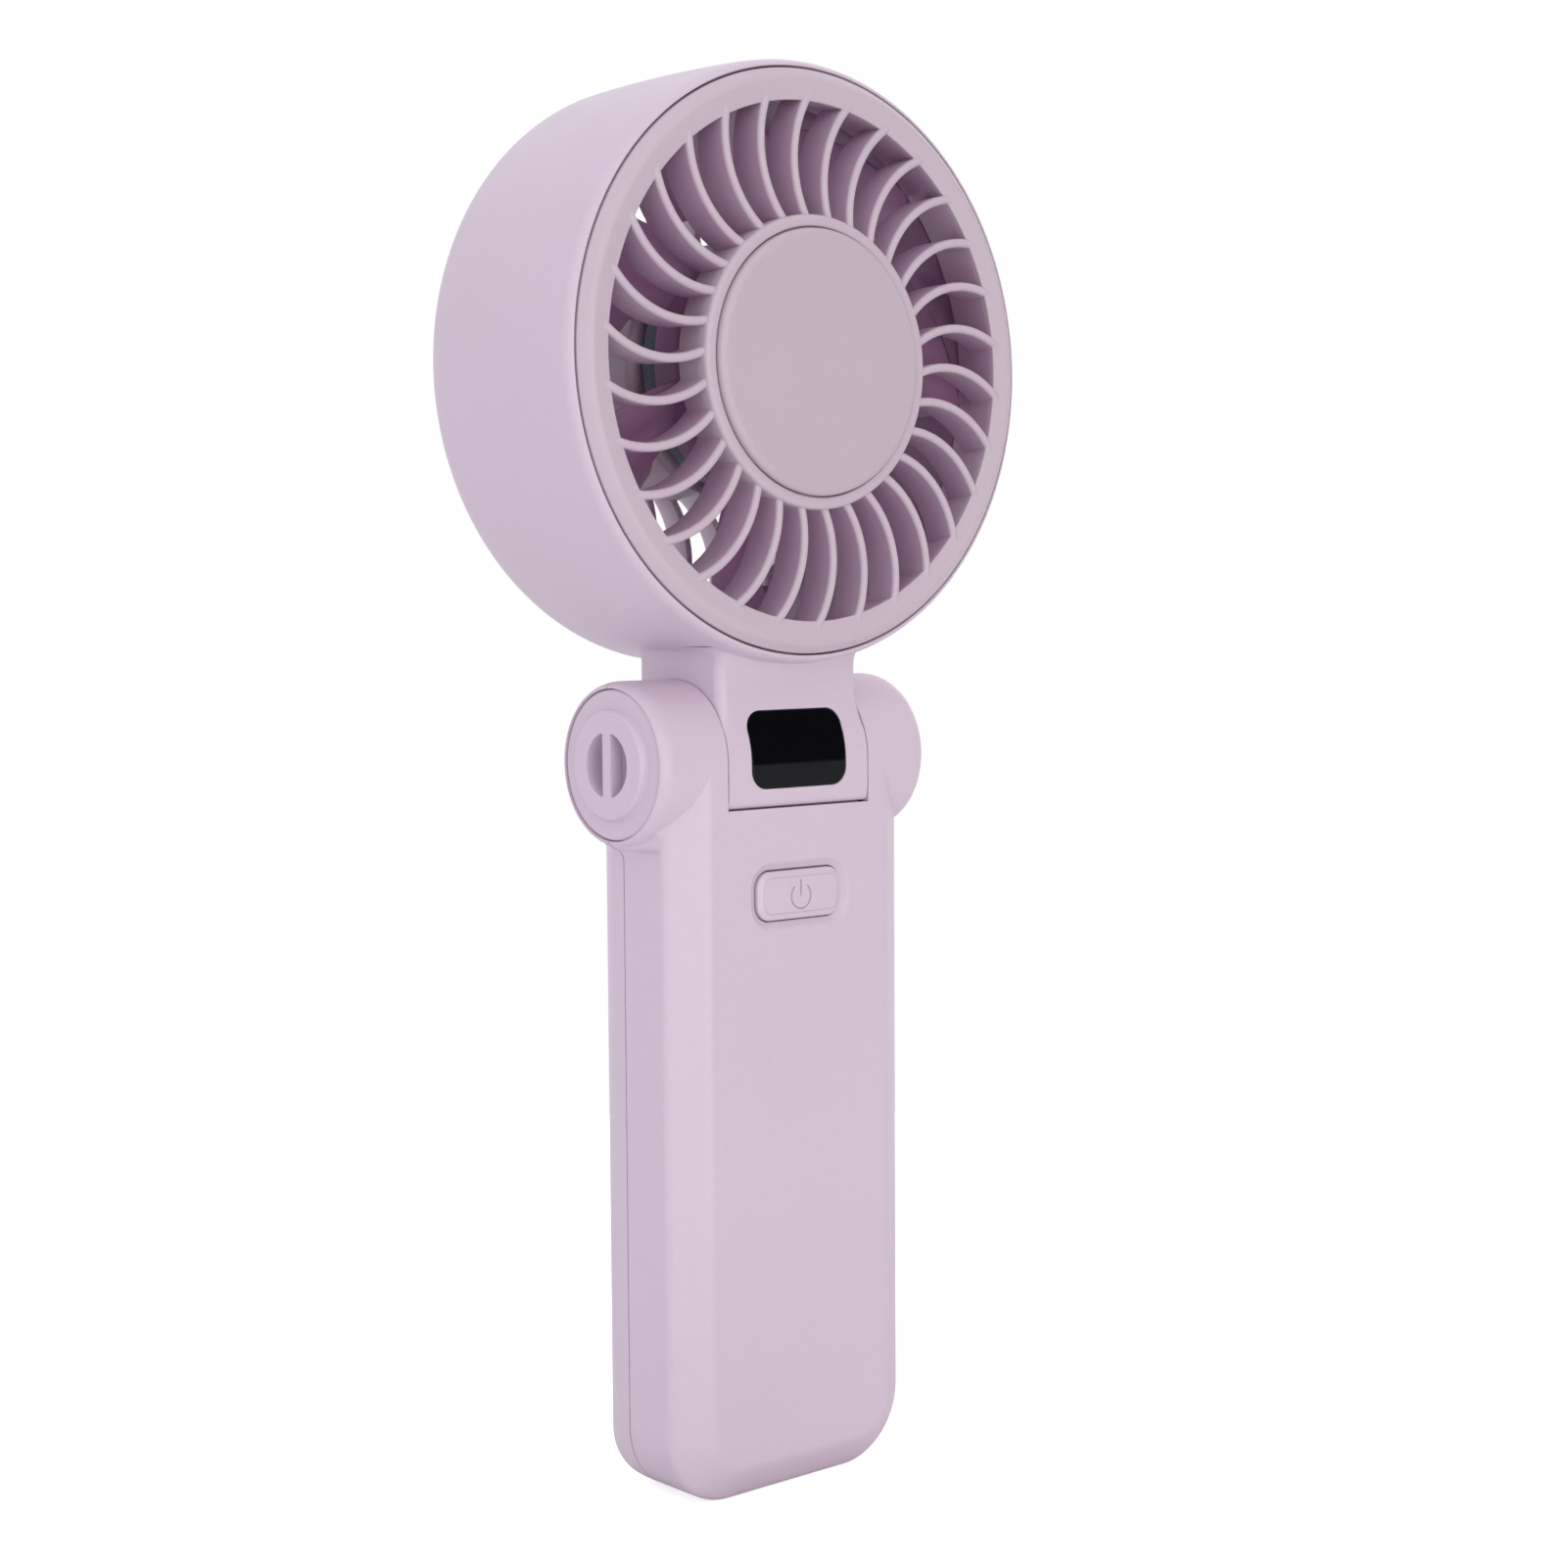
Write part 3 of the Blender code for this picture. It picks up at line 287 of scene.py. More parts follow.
def piece(item, body, node, material, sharp=32.0):
    """Finishes a visible piece that stands for a CAD node."""
    shape = bmesh.new()
    shape.from_mesh(item.data)
    bmesh.ops.remove_doubles(shape, verts=shape.verts, dist=0.002 * MM)
    bmesh.ops.dissolve_degenerate(shape, edges=shape.edges, dist=0.001 * MM)
    shape.to_mesh(item.data)
    shape.free()
    item.data.materials.clear()
    item.data.materials.append(material)
    item.data.shade_smooth()
    item.data.set_sharp_from_angle(angle=math.radians(sharp))
    step = item.modifiers.new("even_shading", "WEIGHTED_NORMAL")
    step.keep_sharp = True
    step.weight = 80
    bake(item)
    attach(item, body)
    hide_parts(node)


def second_material(item, material, inner_r, outer_r, front_y, back_y):
    """Gives the faces between two radii round the head's axis and two depths another material."""
    item.data.materials.append(material)
    for face in item.data.polygons:
        x, y, z = in_mm(item.matrix_world @ face.center)
        if inner_r < math.hypot(x, z - HEAD_Z) < outer_r and front_y < y < back_y:
            face.material_index = 1


def turned(profile, axis, centre, steps=ROUND):
    """A closed profile of (radius, distance along the axis) turned right round an axis along X or Y."""
    points, rings = [], []

    def place(radius, along, angle):
        side, up = radius * math.cos(angle), radius * math.sin(angle)
        if axis == "Y":
            return (centre[0] + side, along, centre[1] + up)
        return (along, centre[0] + side, centre[1] + up)

    for radius, along in profile:
        if radius < 1e-6:
            points.append(place(0.0, along, 0.0))
            rings.append([len(points) - 1] * steps)
            continue
        rings.append(list(range(len(points), len(points) + steps)))
        points += [place(radius, along, 2 * math.pi * k / steps) for k in range(steps)]
    faces = []
    for here, there in zip(rings, rings[1:] + rings[:1]):
        if here[0] == here[1] and there[0] == there[1]:
            continue
        for k in range(steps):
            n = (k + 1) % steps
            faces.append(list(dict.fromkeys([here[k], here[n], there[n], there[k]])))
    return points, faces


def loft(rings):
    """A closed solid through rings of equally many points."""
    count = len(rings[0])
    points = [point for ring in rings for point in ring]
    faces = [list(range(count))[::-1], [len(points) - count + k for k in range(count)]]
    for level in range(len(rings) - 1):
        low, high = level * count, (level + 1) * count
        for k in range(count):
            n = (k + 1) % count
            faces.append([low + k, low + n, high + n, high + k])
    return points, faces


def many(shapes):
    """Several (points, faces) shapes as one."""
    points, faces = [], []
    for more_points, more_faces in shapes:
        start = len(points)
        points += more_points
        faces += [[index + start for index in face] for face in more_faces]
    return points, faces


def box(low, high):
    (x0, y0, z0), (x1, y1, z1) = low, high
    return loft([[(x, y, z) for x, y in ((x0, y0), (x1, y0), (x1, y1), (x0, y1))] for z in (z0, z1)])


def arc(centre, radii, first, last, steps):
    """Points on an ellipse between two angles in degrees."""
    angles = [math.radians(first + (last - first) * k / steps) for k in range(steps + 1)]
    return [(centre[0] + radii[0] * math.cos(a), centre[1] + radii[1] * math.sin(a)) for a in angles]


def rounded(half_x, half_z, corner, steps=10):
    """A rounded rectangle round the origin, as (x, z) points."""
    outline = []
    for cx, cz, first in ((1, 1, 0), (-1, 1, 90), (-1, -1, 180), (1, -1, 270)):
        centre = (cx * (half_x - corner), cz * (half_z - corner))
        outline += arc(centre, (corner, corner), first, first + 90, steps)
    return outline


def slab(outline, y0, y1, centre=(0.0, 0.0)):
    """An (x, z) outline made solid between two places along Y."""
    return loft([[(centre[0] + x, y, centre[1] + z) for x, z in outline] for y in (y0, y1)])


def bezier(start, control, end, steps):
    return [tuple((1 - t) ** 2 * s + 2 * t * (1 - t) * c + t * t * e for s, c, e in zip(start, control, end))
            for t in (k / steps for k in range(steps + 1))]


def soften(points, radii, steps=4):
    """Rounds the corners of a closed (a, b) outline by one radius each."""
    outline = []
    for k, corner in enumerate(points):
        before, after = points[k - 1], points[(k + 1) % len(points)]
        reach_in, reach_out = math.dist(corner, before), math.dist(corner, after)
        cut = min(radii[k], reach_in * 0.45, reach_out * 0.45)
        if cut < 0.01:
            outline.append(corner)
            continue
        start = [c + (b - c) * cut / reach_in for c, b in zip(corner, before)]
        end = [c + (a - c) * cut / reach_out for c, a in zip(corner, after)]
        outline += bezier(start, corner, end, steps)
    return outline


def smooth_step(value, low, high):
    share = min(max((value - low) / (high - low), 0.0), 1.0)
    return share * share * (3 - 2 * share)


def depth(value):
    """World Y of a depth behind the seam plane."""
    return SEAM_Y + value


# Materials

class Nodes:
    """A small wrapper for building a material's nodes."""

    def __init__(self, name):
        self.material = bpy.data.materials.new(name)
        self.material.use_nodes = True
        self.tree = self.material.node_tree
        self.shader = self.tree.nodes["Principled BSDF"]

    def add(self, kind, **settings):
        node = self.tree.nodes.new(kind)
        for key, value in settings.items():
            setattr(node, key, value)
        return node

    def link(self, start, end):
        self.tree.links.new(start, end)

    def noise(self, scale, detail=3.0, roughness=0.55):
        coordinates = self.add("ShaderNodeTexCoord")
        noise = self.add("ShaderNodeTexNoise")
        noise.inputs["Scale"].default_value = scale
        noise.inputs["Detail"].default_value = detail
        noise.inputs["Roughness"].default_value = roughness
        self.link(coordinates.outputs["Object"], noise.inputs["Vector"])
        return noise.outputs["Fac"]

    def span(self, value, low, high, start=0.3, end=0.7):
        """Maps a value from start..end to low..high."""
        node = self.add("ShaderNodeMapRange")
        node.inputs["From Min"].default_value = start
        node.inputs["From Max"].default_value = end
        node.inputs["To Min"].default_value = low
        node.inputs["To Max"].default_value = high
        self.link(value, node.inputs["Value"])
        return node.outputs["Result"]

    def math(self, operation, first, second):
        node = self.add("ShaderNodeMath", operation=operation)
        for socket, value in zip(node.inputs, (first, second)):
            if isinstance(value, (int, float)):
                socket.default_value = value
            else:
                self.link(value, socket)
        return node.outputs["Value"]

    def mix(self, factor, first, second):
        """Mixes two colours, each a tuple or another node's output."""
        node = self.add("ShaderNodeMix", data_type="RGBA")
        factor_socket, first_socket, second_socket = (node.inputs[k] for k in (0, 6, 7))
        self.link(factor, factor_socket)
        for socket, value in ((first_socket, first), (second_socket, second)):
            if isinstance(value, tuple):
                socket.default_value = (*value, 1.0)
            else:
                self.link(value, socket)
        return node.outputs[2]


def srgb(red, green, blue):
    return tuple((value / 255 / 12.92) if value <= 10 else ((value / 255 + 0.055) / 1.055) ** 2.4
                 for value in (red, green, blue))


def moulded(name, colour, roughness, grain=0.12, variation=0.02, edge=0.25):
    """Moulded plastic: spark-textured grain, slight shifts of colour and gloss, polished edges."""
    nodes = Nodes(name)
    shader = nodes.shader
    bevel = nodes.add("ShaderNodeBevel", samples=4)
    bevel.inputs["Radius"].default_value = edge * MM
    geometry = nodes.add("ShaderNodeNewGeometry")
    facing = nodes.add("ShaderNodeVectorMath", operation="DOT_PRODUCT")
    nodes.link(bevel.outputs["Normal"], facing.inputs[0])
    nodes.link(geometry.outputs["Normal"], facing.inputs[1])
    wear = nodes.span(facing.outputs["Value"], 1.0, 0.0, 0.86, 0.995)

    drift = nodes.noise(22.0, 2.0)
    mottle = nodes.noise(900.0, 4.0, 0.65)
    shade = nodes.math("ADD", nodes.span(drift, 1 - variation, 1 + variation),
                       nodes.span(mottle, -0.012, 0.012))
    warmer = tuple(c * k for c, k in zip(colour, (1.012, 0.985, 1.01)))
    tone = nodes.mix(nodes.span(drift, 0.0, 1.0), colour, warmer)
    scaled = nodes.add("ShaderNodeVectorMath", operation="SCALE")
    nodes.link(tone, scaled.inputs[0])
    nodes.link(shade, scaled.inputs["Scale"])
    worn = nodes.mix(nodes.math("MULTIPLY", wear, 0.35), scaled.outputs["Vector"],
                     tuple(min(1.0, c * 1.12) for c in colour))
    nodes.link(worn, shader.inputs["Base Color"])

    patch = nodes.noise(140.0, 3.0)
    rough = nodes.math("ADD", nodes.span(patch, roughness - 0.035, roughness + 0.035),
                       nodes.span(mottle, -0.02, 0.02))
    nodes.link(nodes.math("SUBTRACT", rough, nodes.math("MULTIPLY", wear, 0.10)), shader.inputs["Roughness"])

    fine = nodes.noise(5200.0, 2.0, 0.5)
    coarse = nodes.noise(260.0, 3.0)
    height = nodes.math("ADD", fine, nodes.math("MULTIPLY", coarse, 1.6))
    bump = nodes.add("ShaderNodeBump")
    bump.inputs["Strength"].default_value = grain
    bump.inputs["Distance"].default_value = 0.03 * MM
    nodes.link(height, bump.inputs["Height"])
    nodes.link(bevel.outputs["Normal"], bump.inputs["Normal"])
    nodes.link(bump.outputs["Normal"], shader.inputs["Normal"])
    shader.inputs["IOR"].default_value = 1.5
    shader.inputs["Specular IOR Level"].default_value = 0.45
    return nodes.material


def metal(name, colour, roughness, brushed=0.0, metallic=1.0):
    """Metal with fine scratches across, and cloudy shifts of gloss."""
    nodes = Nodes(name)
    shader = nodes.shader
    cloud = nodes.noise(180.0, 4.0)
    fine = nodes.noise(3800.0, 3.0)
    darker, lighter = (tuple(c * share for c in colour) for share in (0.88, 1.1))
    tone = nodes.mix(nodes.span(cloud, 0.0, 1.0), darker, lighter)
    nodes.link(tone, shader.inputs["Base Color"])
    rough = nodes.math("ADD", nodes.span(cloud, roughness - 0.06, roughness + 0.06),
                       nodes.span(fine, -0.03, 0.03))
    nodes.link(rough, shader.inputs["Roughness"])
    bump = nodes.add("ShaderNodeBump")
    bump.inputs["Strength"].default_value = 0.12 + brushed
    bump.inputs["Distance"].default_value = 0.02 * MM
    nodes.link(fine, bump.inputs["Height"])
    nodes.link(bump.outputs["Normal"], shader.inputs["Normal"])
    shader.inputs["Metallic"].default_value = metallic
    return nodes.material


LILAC = srgb(216, 199, 213)
LILAC_GUARD = srgb(204, 187, 199)
LILAC_TRIM = srgb(199, 183, 194)
SHELL = moulded("lilac_shell", LILAC, 0.42)
TRIM = moulded("lilac_trim", LILAC_TRIM, 0.50)
GUARD = moulded("lilac_guard", LILAC_GUARD, 0.48)
# Painted shade: a darker, more magenta lilac for the duct walls and the impeller, standing in for the shade
# inside the head
INTERIOR_PAINTED_SHADE = moulded("lilac_interior_painted_shade", srgb(158, 120, 153), 0.36, 0.08)
# Painted shade: a darker lilac for the sides of the grille's vanes, standing in for the shade between them
VANE_PAINTED_SHADE = moulded("lilac_vane_painted_shade", srgb(200, 172, 194), 0.42, 0.08)
GLOSS = moulded("window_gloss", (0.0035, 0.0038, 0.005), 0.06, 0.0, 0.1, 0.12)
BLACK = moulded("black_plastic", (0.012, 0.012, 0.014), 0.42)
STEEL = metal("steel", (0.52, 0.52, 0.54), 0.3)
DARK_STEEL = metal("dark_steel", (0.075, 0.08, 0.11), 0.36, 0.1, 0.85)
BRASS = metal("brass", (0.52, 0.38, 0.16), 0.38)
COPPER = metal("copper_windings", (0.42, 0.17, 0.08), 0.42, 0.3)
MAGNET = metal("magnet", (0.03, 0.03, 0.032), 0.55, 0.2, 0.3)
CIRCUIT = moulded("circuit_board", (0.015, 0.085, 0.04), 0.4, 0.2, 0.15)
FOIL = metal("cell_foil", (0.25, 0.28, 0.34), 0.42, 0.3, 0.6)
FOAM = moulded("foam", (0.025, 0.025, 0.027), 0.9, 0.9, 0.2)


# Head shell: drum, neck and hinge barrel

def drum_radius(y):
    share = (y - SEAM_Y) / (DRUM_BACK_Y - SEAM_Y)
    return DRUM_R + DRUM_BULGE * math.sin(math.pi * min(max(share, 0.0), 1.0))


def drum_profile():
    lip_r, lip_y = DRUM_LIP
    seam_r = SEAM_R + GRILLE_SEAM / 2
    bend_y = DRUM_BACK_Y - DRUM_BACK_ROUND
    bend_r = drum_radius(bend_y)
    lip = [(DRUM_R - lip_r + lip_r * math.sin(a), SEAM_Y + lip_y - lip_y * math.cos(a))
           for a in (math.radians(90 * k / 12) for k in range(1, 13))]
    side_y = SEAM_Y + lip_y
    side = [(drum_radius(y), y) for y in (side_y + (bend_y - side_y) * k / 16 for k in range(1, 16))]
    back = arc((bend_r - DRUM_BACK_ROUND, bend_y), (DRUM_BACK_ROUND, DRUM_BACK_ROUND), 0, 90, 14)
    inside = [
        (REAR_RING_R + SEAM_GAP, DRUM_BACK_Y), (REAR_RING_R + SEAM_GAP, DRUM_BACK_Y - 2.6),
        (DUCT_R - 2.0, DRUM_BACK_Y - 2.6), (DUCT_R - 1.6, DRUM_BACK_Y - 3.4), (DUCT_R, DRUM_BACK_Y - 5.0),
        (DUCT_R, depth(BAYONET_DEPTH + 0.3)), (DUCT_R + 0.3, depth(BAYONET_DEPTH)),
        (BAYONET_R, depth(BAYONET_DEPTH)), (BAYONET_R, depth(2.0)),
        (seam_r, depth(2.0)), (seam_r, SEAM_Y + 0.12), (seam_r + 0.06, SEAM_Y + 0.02),
    ]
    return lip + side + back + inside


def smooth_curve(points, steps):
    """A curve through points, with steps pieces between each two."""
    curve = []
    for k in range(len(points) - 1):
        before, here = points[max(k - 1, 0)], points[k]
        there, after = points[k + 1], points[min(k + 2, len(points) - 1)]
        for j in range(steps):
            t = j / steps
            curve.append(tuple(
                0.5 * (2 * p + (q - o) * t + (2 * o - 5 * p + 4 * q - r) * t**2
                       + (3 * p - o - 3 * q + r) * t**3)
                for o, p, q, r in zip(before, here, there, after)))
    return curve + [points[-1]]


def neck_side(x, edge):
    """Side view of barrel and neck at x as (y, z), with the neck's faces brought in by edge."""
    front = [(y + edge * smooth_step(z, *NECK_EDGE_FROM), HINGE_Z + z)
             for y, z in smooth_curve(HEAD_FRONT, CURVE_STEPS)]
    flare_z = HEAD_Z - math.sqrt(DRUM_R**2 - x**2) - HINGE_Z - FLARE_DROP
    neck_z = HEAD_FRONT[-1][1]
    for k in range(1, 21):
        z = neck_z + (flare_z + FLARE_RISE - neck_z) * math.sin(math.radians(4.5 * k))
        out = max(0.0, (z - flare_z) / FLARE_RISE)
        forward = FLARE_FORWARD * (1 - math.sqrt(max(0.0, 1 - out**2)))
        front.append((HEAD_FRONT[-1][0] + edge - forward, HINGE_Z + z))
    top_z = HINGE_Z + NECK_TOP
    back_y = NECK_BACK_Y - edge
    meet = math.degrees(math.acos((back_y - HINGE_Y) / KNUCKLE_R))
    low_z = HEAD_FRONT[0][1]
    end = -180 - math.degrees(math.asin(low_z / KNUCKLE_R))
    barrel = arc(HINGE, (KNUCKLE_R, KNUCKLE_R), meet, end, 96)
    return front + [(front[-1][0], top_z), (back_y, top_z)] + barrel


def make_neck():
    """Barrel and neck as one block across the head, with the neck's upright edges rounded."""
    rings = []
    for k in range(13):
        away = NECK_EDGE * (1 - math.cos(math.radians(7.5 * k)))
        edge = NECK_EDGE * (1 - math.sin(math.radians(7.5 * k)))
        x = away - KNUCKLE_HALF
        rings.append([(x, y, z) for y, z in neck_side(x, edge)])
    for k in range(1, 13):
        x = (NECK_EDGE - KNUCKLE_HALF) * (1 - k / 12)
        rings.append([(x, y, z) for y, z in neck_side(x, 0.0)])
    rings += [[(-x, y, z) for x, y, z in ring] for ring in reversed(rings[:-1])]
    return make("neck", *loft(rings))


def neck_fillet():
    """Small hollow blend between the neck's sides and the drum."""
    top_z = HEAD_Z - math.sqrt((DRUM_R + DRUM_BULGE) ** 2 - KNUCKLE_HALF**2) + 0.8
    half_y = (NECK_BACK_Y - HEAD_FRONT[-1][0]) / 2
    rings = []
    for k in range(11):
        share = k / 10
        grow = NECK_FILLET * (1 - math.sqrt(1 - share**2)) - 0.02
        outline = rounded(KNUCKLE_HALF + grow, half_y + grow, NECK_EDGE + grow)
        rings.append([(x, NECK_BACK_Y - half_y + y, top_z + NECK_FILLET * (share - 1)) for x, y in outline])
    return make("neck_fillet", *loft(rings))


def window_block(grow, front, back):
    """The window's outline between two depths behind the barrel's front, measured along Y."""
    low, high = WINDOW_Z
    outline = rounded(WINDOW_HALF + grow, (high - low) / 2 + grow, WINDOW_CORNER + grow)
    middle = (0.0, HINGE_Z + (low + high) / 2)
    plate = make("window_outline", *slab(outline, HINGE_Y - 20, HINGE_Y - 2, middle))
    face = [(y, HINGE_Z + z) for y, z in smooth_curve(HEAD_FRONT[2:], CURVE_STEPS)]
    strip = [(y + front, z) for y, z in face] + [(y + back, z) for y, z in reversed(face)]
    edge = WINDOW_HALF + 3
    block = make("window_block", *loft([[(x, y, z) for y, z in strip] for x in (-edge, edge)]))
    return combine(block, "INTERSECT", plate)


def make_head_shell():
    shell = make("shell_of_head", *turned(drum_profile(), "Y", HEAD_CENTRE, LARGE_ROUND))
    neck = combine(make_neck(), "UNION", neck_fillet())
    duct = [(0.0, depth(-3)), (SEAM_R + 0.3, depth(-3)), (SEAM_R + 0.3, depth(BAYONET_DEPTH)),
            (DUCT_R + 1.6, depth(BAYONET_DEPTH)), (DUCT_R + 1.6, DRUM_BACK_Y + 3), (0.0, DRUM_BACK_Y + 3)]
    combine(neck, "DIFFERENCE", make("duct_space", *turned(duct, "Y", HEAD_CENTRE)))
    combine(shell, "UNION", neck)
    combine(shell, "DIFFERENCE", window_block(0.12, -2.0, 3.0))
    bores = many(turned([(0.0, a), (PIN_BORE_R, a), (PIN_BORE_R, b), (0.0, b)], "X", HINGE, SMALL_ROUND)
                 for a, b in ((-20, -PIN_BORE_END), (PIN_BORE_END, 20)))
    combine(shell, "DIFFERENCE", make("bores", *bores))

    # Moulded arrow on the duct wall that shows where the grille locks
    top_r = DUCT_R - MARK_HEIGHT
    for size, operation, wall_r, top_share in ((MARK_SIZE, "UNION", DUCT_R + 0.5, 1.0),
                                               (MARK_HOLLOW, "DIFFERENCE", DUCT_R - 0.02, 0.97)):
        corners = [(size, 0.0), (-size * 0.62, size * 0.95), (-size * 0.62, -size * 0.95)]
        rings = []
        for radius, share in ((top_r, top_share), (wall_r, 1.0)):
            rings.append([(radius * math.cos(MARK_ANGLE + side / radius) * share, depth(MARK_DEPTH - along),
                           HEAD_Z + radius * math.sin(MARK_ANGLE + side / radius) * share)
                          for along, side in corners])
        combine(shell, operation, make("mark", *loft(rings)))
    piece(shell, "head", "head_shell", SHELL)
    # Painted shade: the duct walls inside the drum take the darker interior lilac
    second_material(shell, INTERIOR_PAINTED_SHADE, 0.0, BAYONET_R + 0.1, depth(0.5), DRUM_BACK_Y - 2.7)


# Front grille

def vane_line(root_r, tip_r, lead, steps):
    """(x, z) points from root to tip on one arc, with the tip on +X and the root leading it."""
    root = (root_r * math.cos(math.radians(lead)), root_r * math.sin(math.radians(lead)))
    tip = (tip_r, 0.0)
    chord = math.dist(root, tip)
    middle = ((root[0] + tip[0]) / 2, (root[1] + tip[1]) / 2)
    along = ((tip[0] - root[0]) / chord, (tip[1] - root[1]) / chord)
    drop = math.sqrt(VANE_ARC_R**2 - (chord / 2) ** 2)
    hub = (middle[0] + along[1] * drop, middle[1] - along[0] * drop)
    first = math.atan2(root[1] - hub[1], root[0] - hub[0])
    last = math.atan2(tip[1] - hub[1], tip[0] - hub[0])
    angles = [first + (last - first) * k / steps for k in range(steps + 1)]
    return [(hub[0] + VANE_ARC_R * math.cos(a), hub[1] + VANE_ARC_R * math.sin(a)) for a in angles]


def vane(line, turn, y_of, back_y, half):
    """A wall along line, turned about the head's axis, with a round front edge and a thinner back."""
    turn = math.radians(turn)
    back_half = half * VANE_TAPER
    rings = []
    for k, (x, z) in enumerate(line):
        before, after = line[max(k - 1, 0)], line[min(k + 1, len(line) - 1)]
        run = math.dist(before, after)
        side = (-(after[1] - before[1]) / run, (after[0] - before[0]) / run)
        front = y_of(math.hypot(x, z))
        ring = [(half * math.cos(a), front + VANE_ROUND * (1 - math.sin(a)))
                for a in (math.radians(180 * j / 8) for j in range(9))]
        ring += [(-back_half, back_y - 0.25), (-back_half * 0.6, back_y), (back_half * 0.6, back_y),
                 (back_half, back_y - 0.25)]
        points = []
        for offset, y in ring:
            px, pz = x + offset * side[0], z + offset * side[1]
            points.append((px * math.cos(turn) - pz * math.sin(turn), y,
                           HEAD_Z + px * math.sin(turn) + pz * math.cos(turn)))
        rings.append(points)
    return loft(rings)


def make_front_grille():
    crest_y, inner_y = depth(-RING_CREST), depth(-RING_INNER)
    outer = SEAM_R - GRILLE_SEAM / 2
    skirt_r = BAYONET_R - 0.3
    ring = [(outer, depth(-0.05)), (RING_CREST_R + 0.75, crest_y + 0.28), (RING_CREST_R, crest_y),
            (RING_INNER_R, inner_y), (RING_INNER_R + 0.15, inner_y + 1.0), (RING_INNER_R + 1.2, depth(7.4)),
            (skirt_r - 0.7, depth(7.4)), (skirt_r, depth(6.7)), (skirt_r, depth(1.7)), (outer, depth(1.7))]
    radii = [0.1, 0.4, 0.22, 0.16, 0.5, 0.2, 0.2, 0.2, 0.1, 0.1]
    grille = make("front_grille_ring", *turned(soften(ring, radii), "Y", HEAD_CENTRE, LARGE_ROUND))
    hub_y, floor_y = depth(-HUB_FRONT), depth(-DISC_FRONT + 1.9)
    seat_r = DISC_R + 0.2
    hub = [(seat_r, floor_y), (seat_r, hub_y), (HUB_R, hub_y), (HUB_R, hub_y + 2.0),
           (HUB_R - 0.6, depth(VANE_BACK)), (HUB_R - 2.0, depth(VANE_BACK)), (HUB_R - 2.0, floor_y + 1.6),
           (3.3, floor_y + 1.6), (3.3, floor_y)]
    hub = soften(hub, [0.05, 0.3, 0.85, 0.4, 0.2, 0.2, 0.3, 0.1, 0.1], 5)
    combine(grille, "UNION", make("grille_hub", *turned(hub, "Y", HEAD_CENTRE)))

    def front_y(radius):
        share = (radius - HUB_R) / (RING_INNER_R - HUB_R)
        ridge = hub_y + 0.55 + (inner_y - 0.38 - hub_y - 0.55) * min(share, 1.0)
        return ridge + 0.16 * max(0.0, radius - RING_INNER_R)

    line = vane_line(HUB_R - 0.8, 36.9, VANE_HUB_LEAD, 22)
    last, before = line[-1], line[-2]
    line.append((2 * last[0] - before[0], 2 * last[1] - before[1]))
    vanes = many(vane(line, VANE_FIRST + k * 360 / VANE_COUNT, front_y, depth(VANE_BACK), VANE_HALF)
                 for k in range(VANE_COUNT))
    combine(grille, "UNION", make("vanes", *vanes))
    piece(grille, "grille", "front_grille", GUARD)
    # Painted shade: the vanes' sides behind their front edges take the darker lilac
    second_material(grille, VANE_PAINTED_SHADE, HUB_R + 0.05, RING_INNER_R + 1.3, depth(-0.1), DRUM_BACK_Y)


def make_disc():
    front, back = depth(-DISC_FRONT), depth(-DISC_FRONT + 1.6)
    disc = [(0.0, front), (DISC_R - 0.8, front), (DISC_R - 0.1, front + 0.42), (DISC_R, front + 0.9),
            (DISC_R, back), (3.0, back), (3.0, back + 2.6), (0.0, back + 2.6)]
    disc = soften(disc, [0.0, 0.5, 0.4, 0.3, 0.2, 0.1, 0.3, 0.0], 5)
    piece(make("centre_disc", *turned(disc, "Y", HEAD_CENTRE)), "grille", "hub_disc", TRIM)


# Rear grille

def make_rear_grille():
    ring = soften([(REAR_RING_R, DRUM_BACK_Y - 0.05), (REAR_RING_R, DRUM_BACK_Y - 2.3),
                   (REAR_RING_INNER_R, DRUM_BACK_Y - 2.3), (REAR_RING_INNER_R, DRUM_BACK_Y - 0.05)],
                  [0.35, 0.15, 0.3, 0.5])
    grille = make("rear_guard_ring", *turned(ring, "Y", HEAD_CENTRE, LARGE_ROUND))
    plate, inside = depth(NACELLE_FRONT), NACELLE_R - NACELLE_WALL
    rim_y, tube_y = DRUM_BACK_Y - 0.2, depth(TUBE_FRONT)
    nacelle = [(NACELLE_R, rim_y), (NACELLE_R, plate), (TUBE_R + 1.5, plate), (TUBE_R, plate - 1.5),
               (TUBE_R, tube_y), (TUBE_BORE_R, tube_y), (TUBE_BORE_R, plate + 1.6), (inside, plate + 1.6),
               (inside, rim_y)]
    nacelle = soften(nacelle, [0.45, 1.2, 0.5, 0.3, 0.2, 0.1, 0.1, 0.5, 0.2], 5)
    combine(grille, "UNION", make("nacelle", *turned(nacelle, "Y", HEAD_CENTRE)))
    line = vane_line(NACELLE_R - 0.6, REAR_RING_INNER_R + 0.9, -VANE_HUB_LEAD, 16)
    flipped = 2 * DRUM_BACK_Y
    vanes = []
    for k in range(REAR_VANE_COUNT):
        points, faces = vane(line, k * 360 / REAR_VANE_COUNT, lambda radius: DRUM_BACK_Y + 0.7,
                             DRUM_BACK_Y + REAR_VANE_DEPTH, 0.65)
        vanes.append(([(x, flipped - y, z) for x, y, z in points], faces))
    combine(grille, "UNION", make("rear_vanes", *many(vanes)))
    piece(grille, "head", "rear_grille", SHELL)


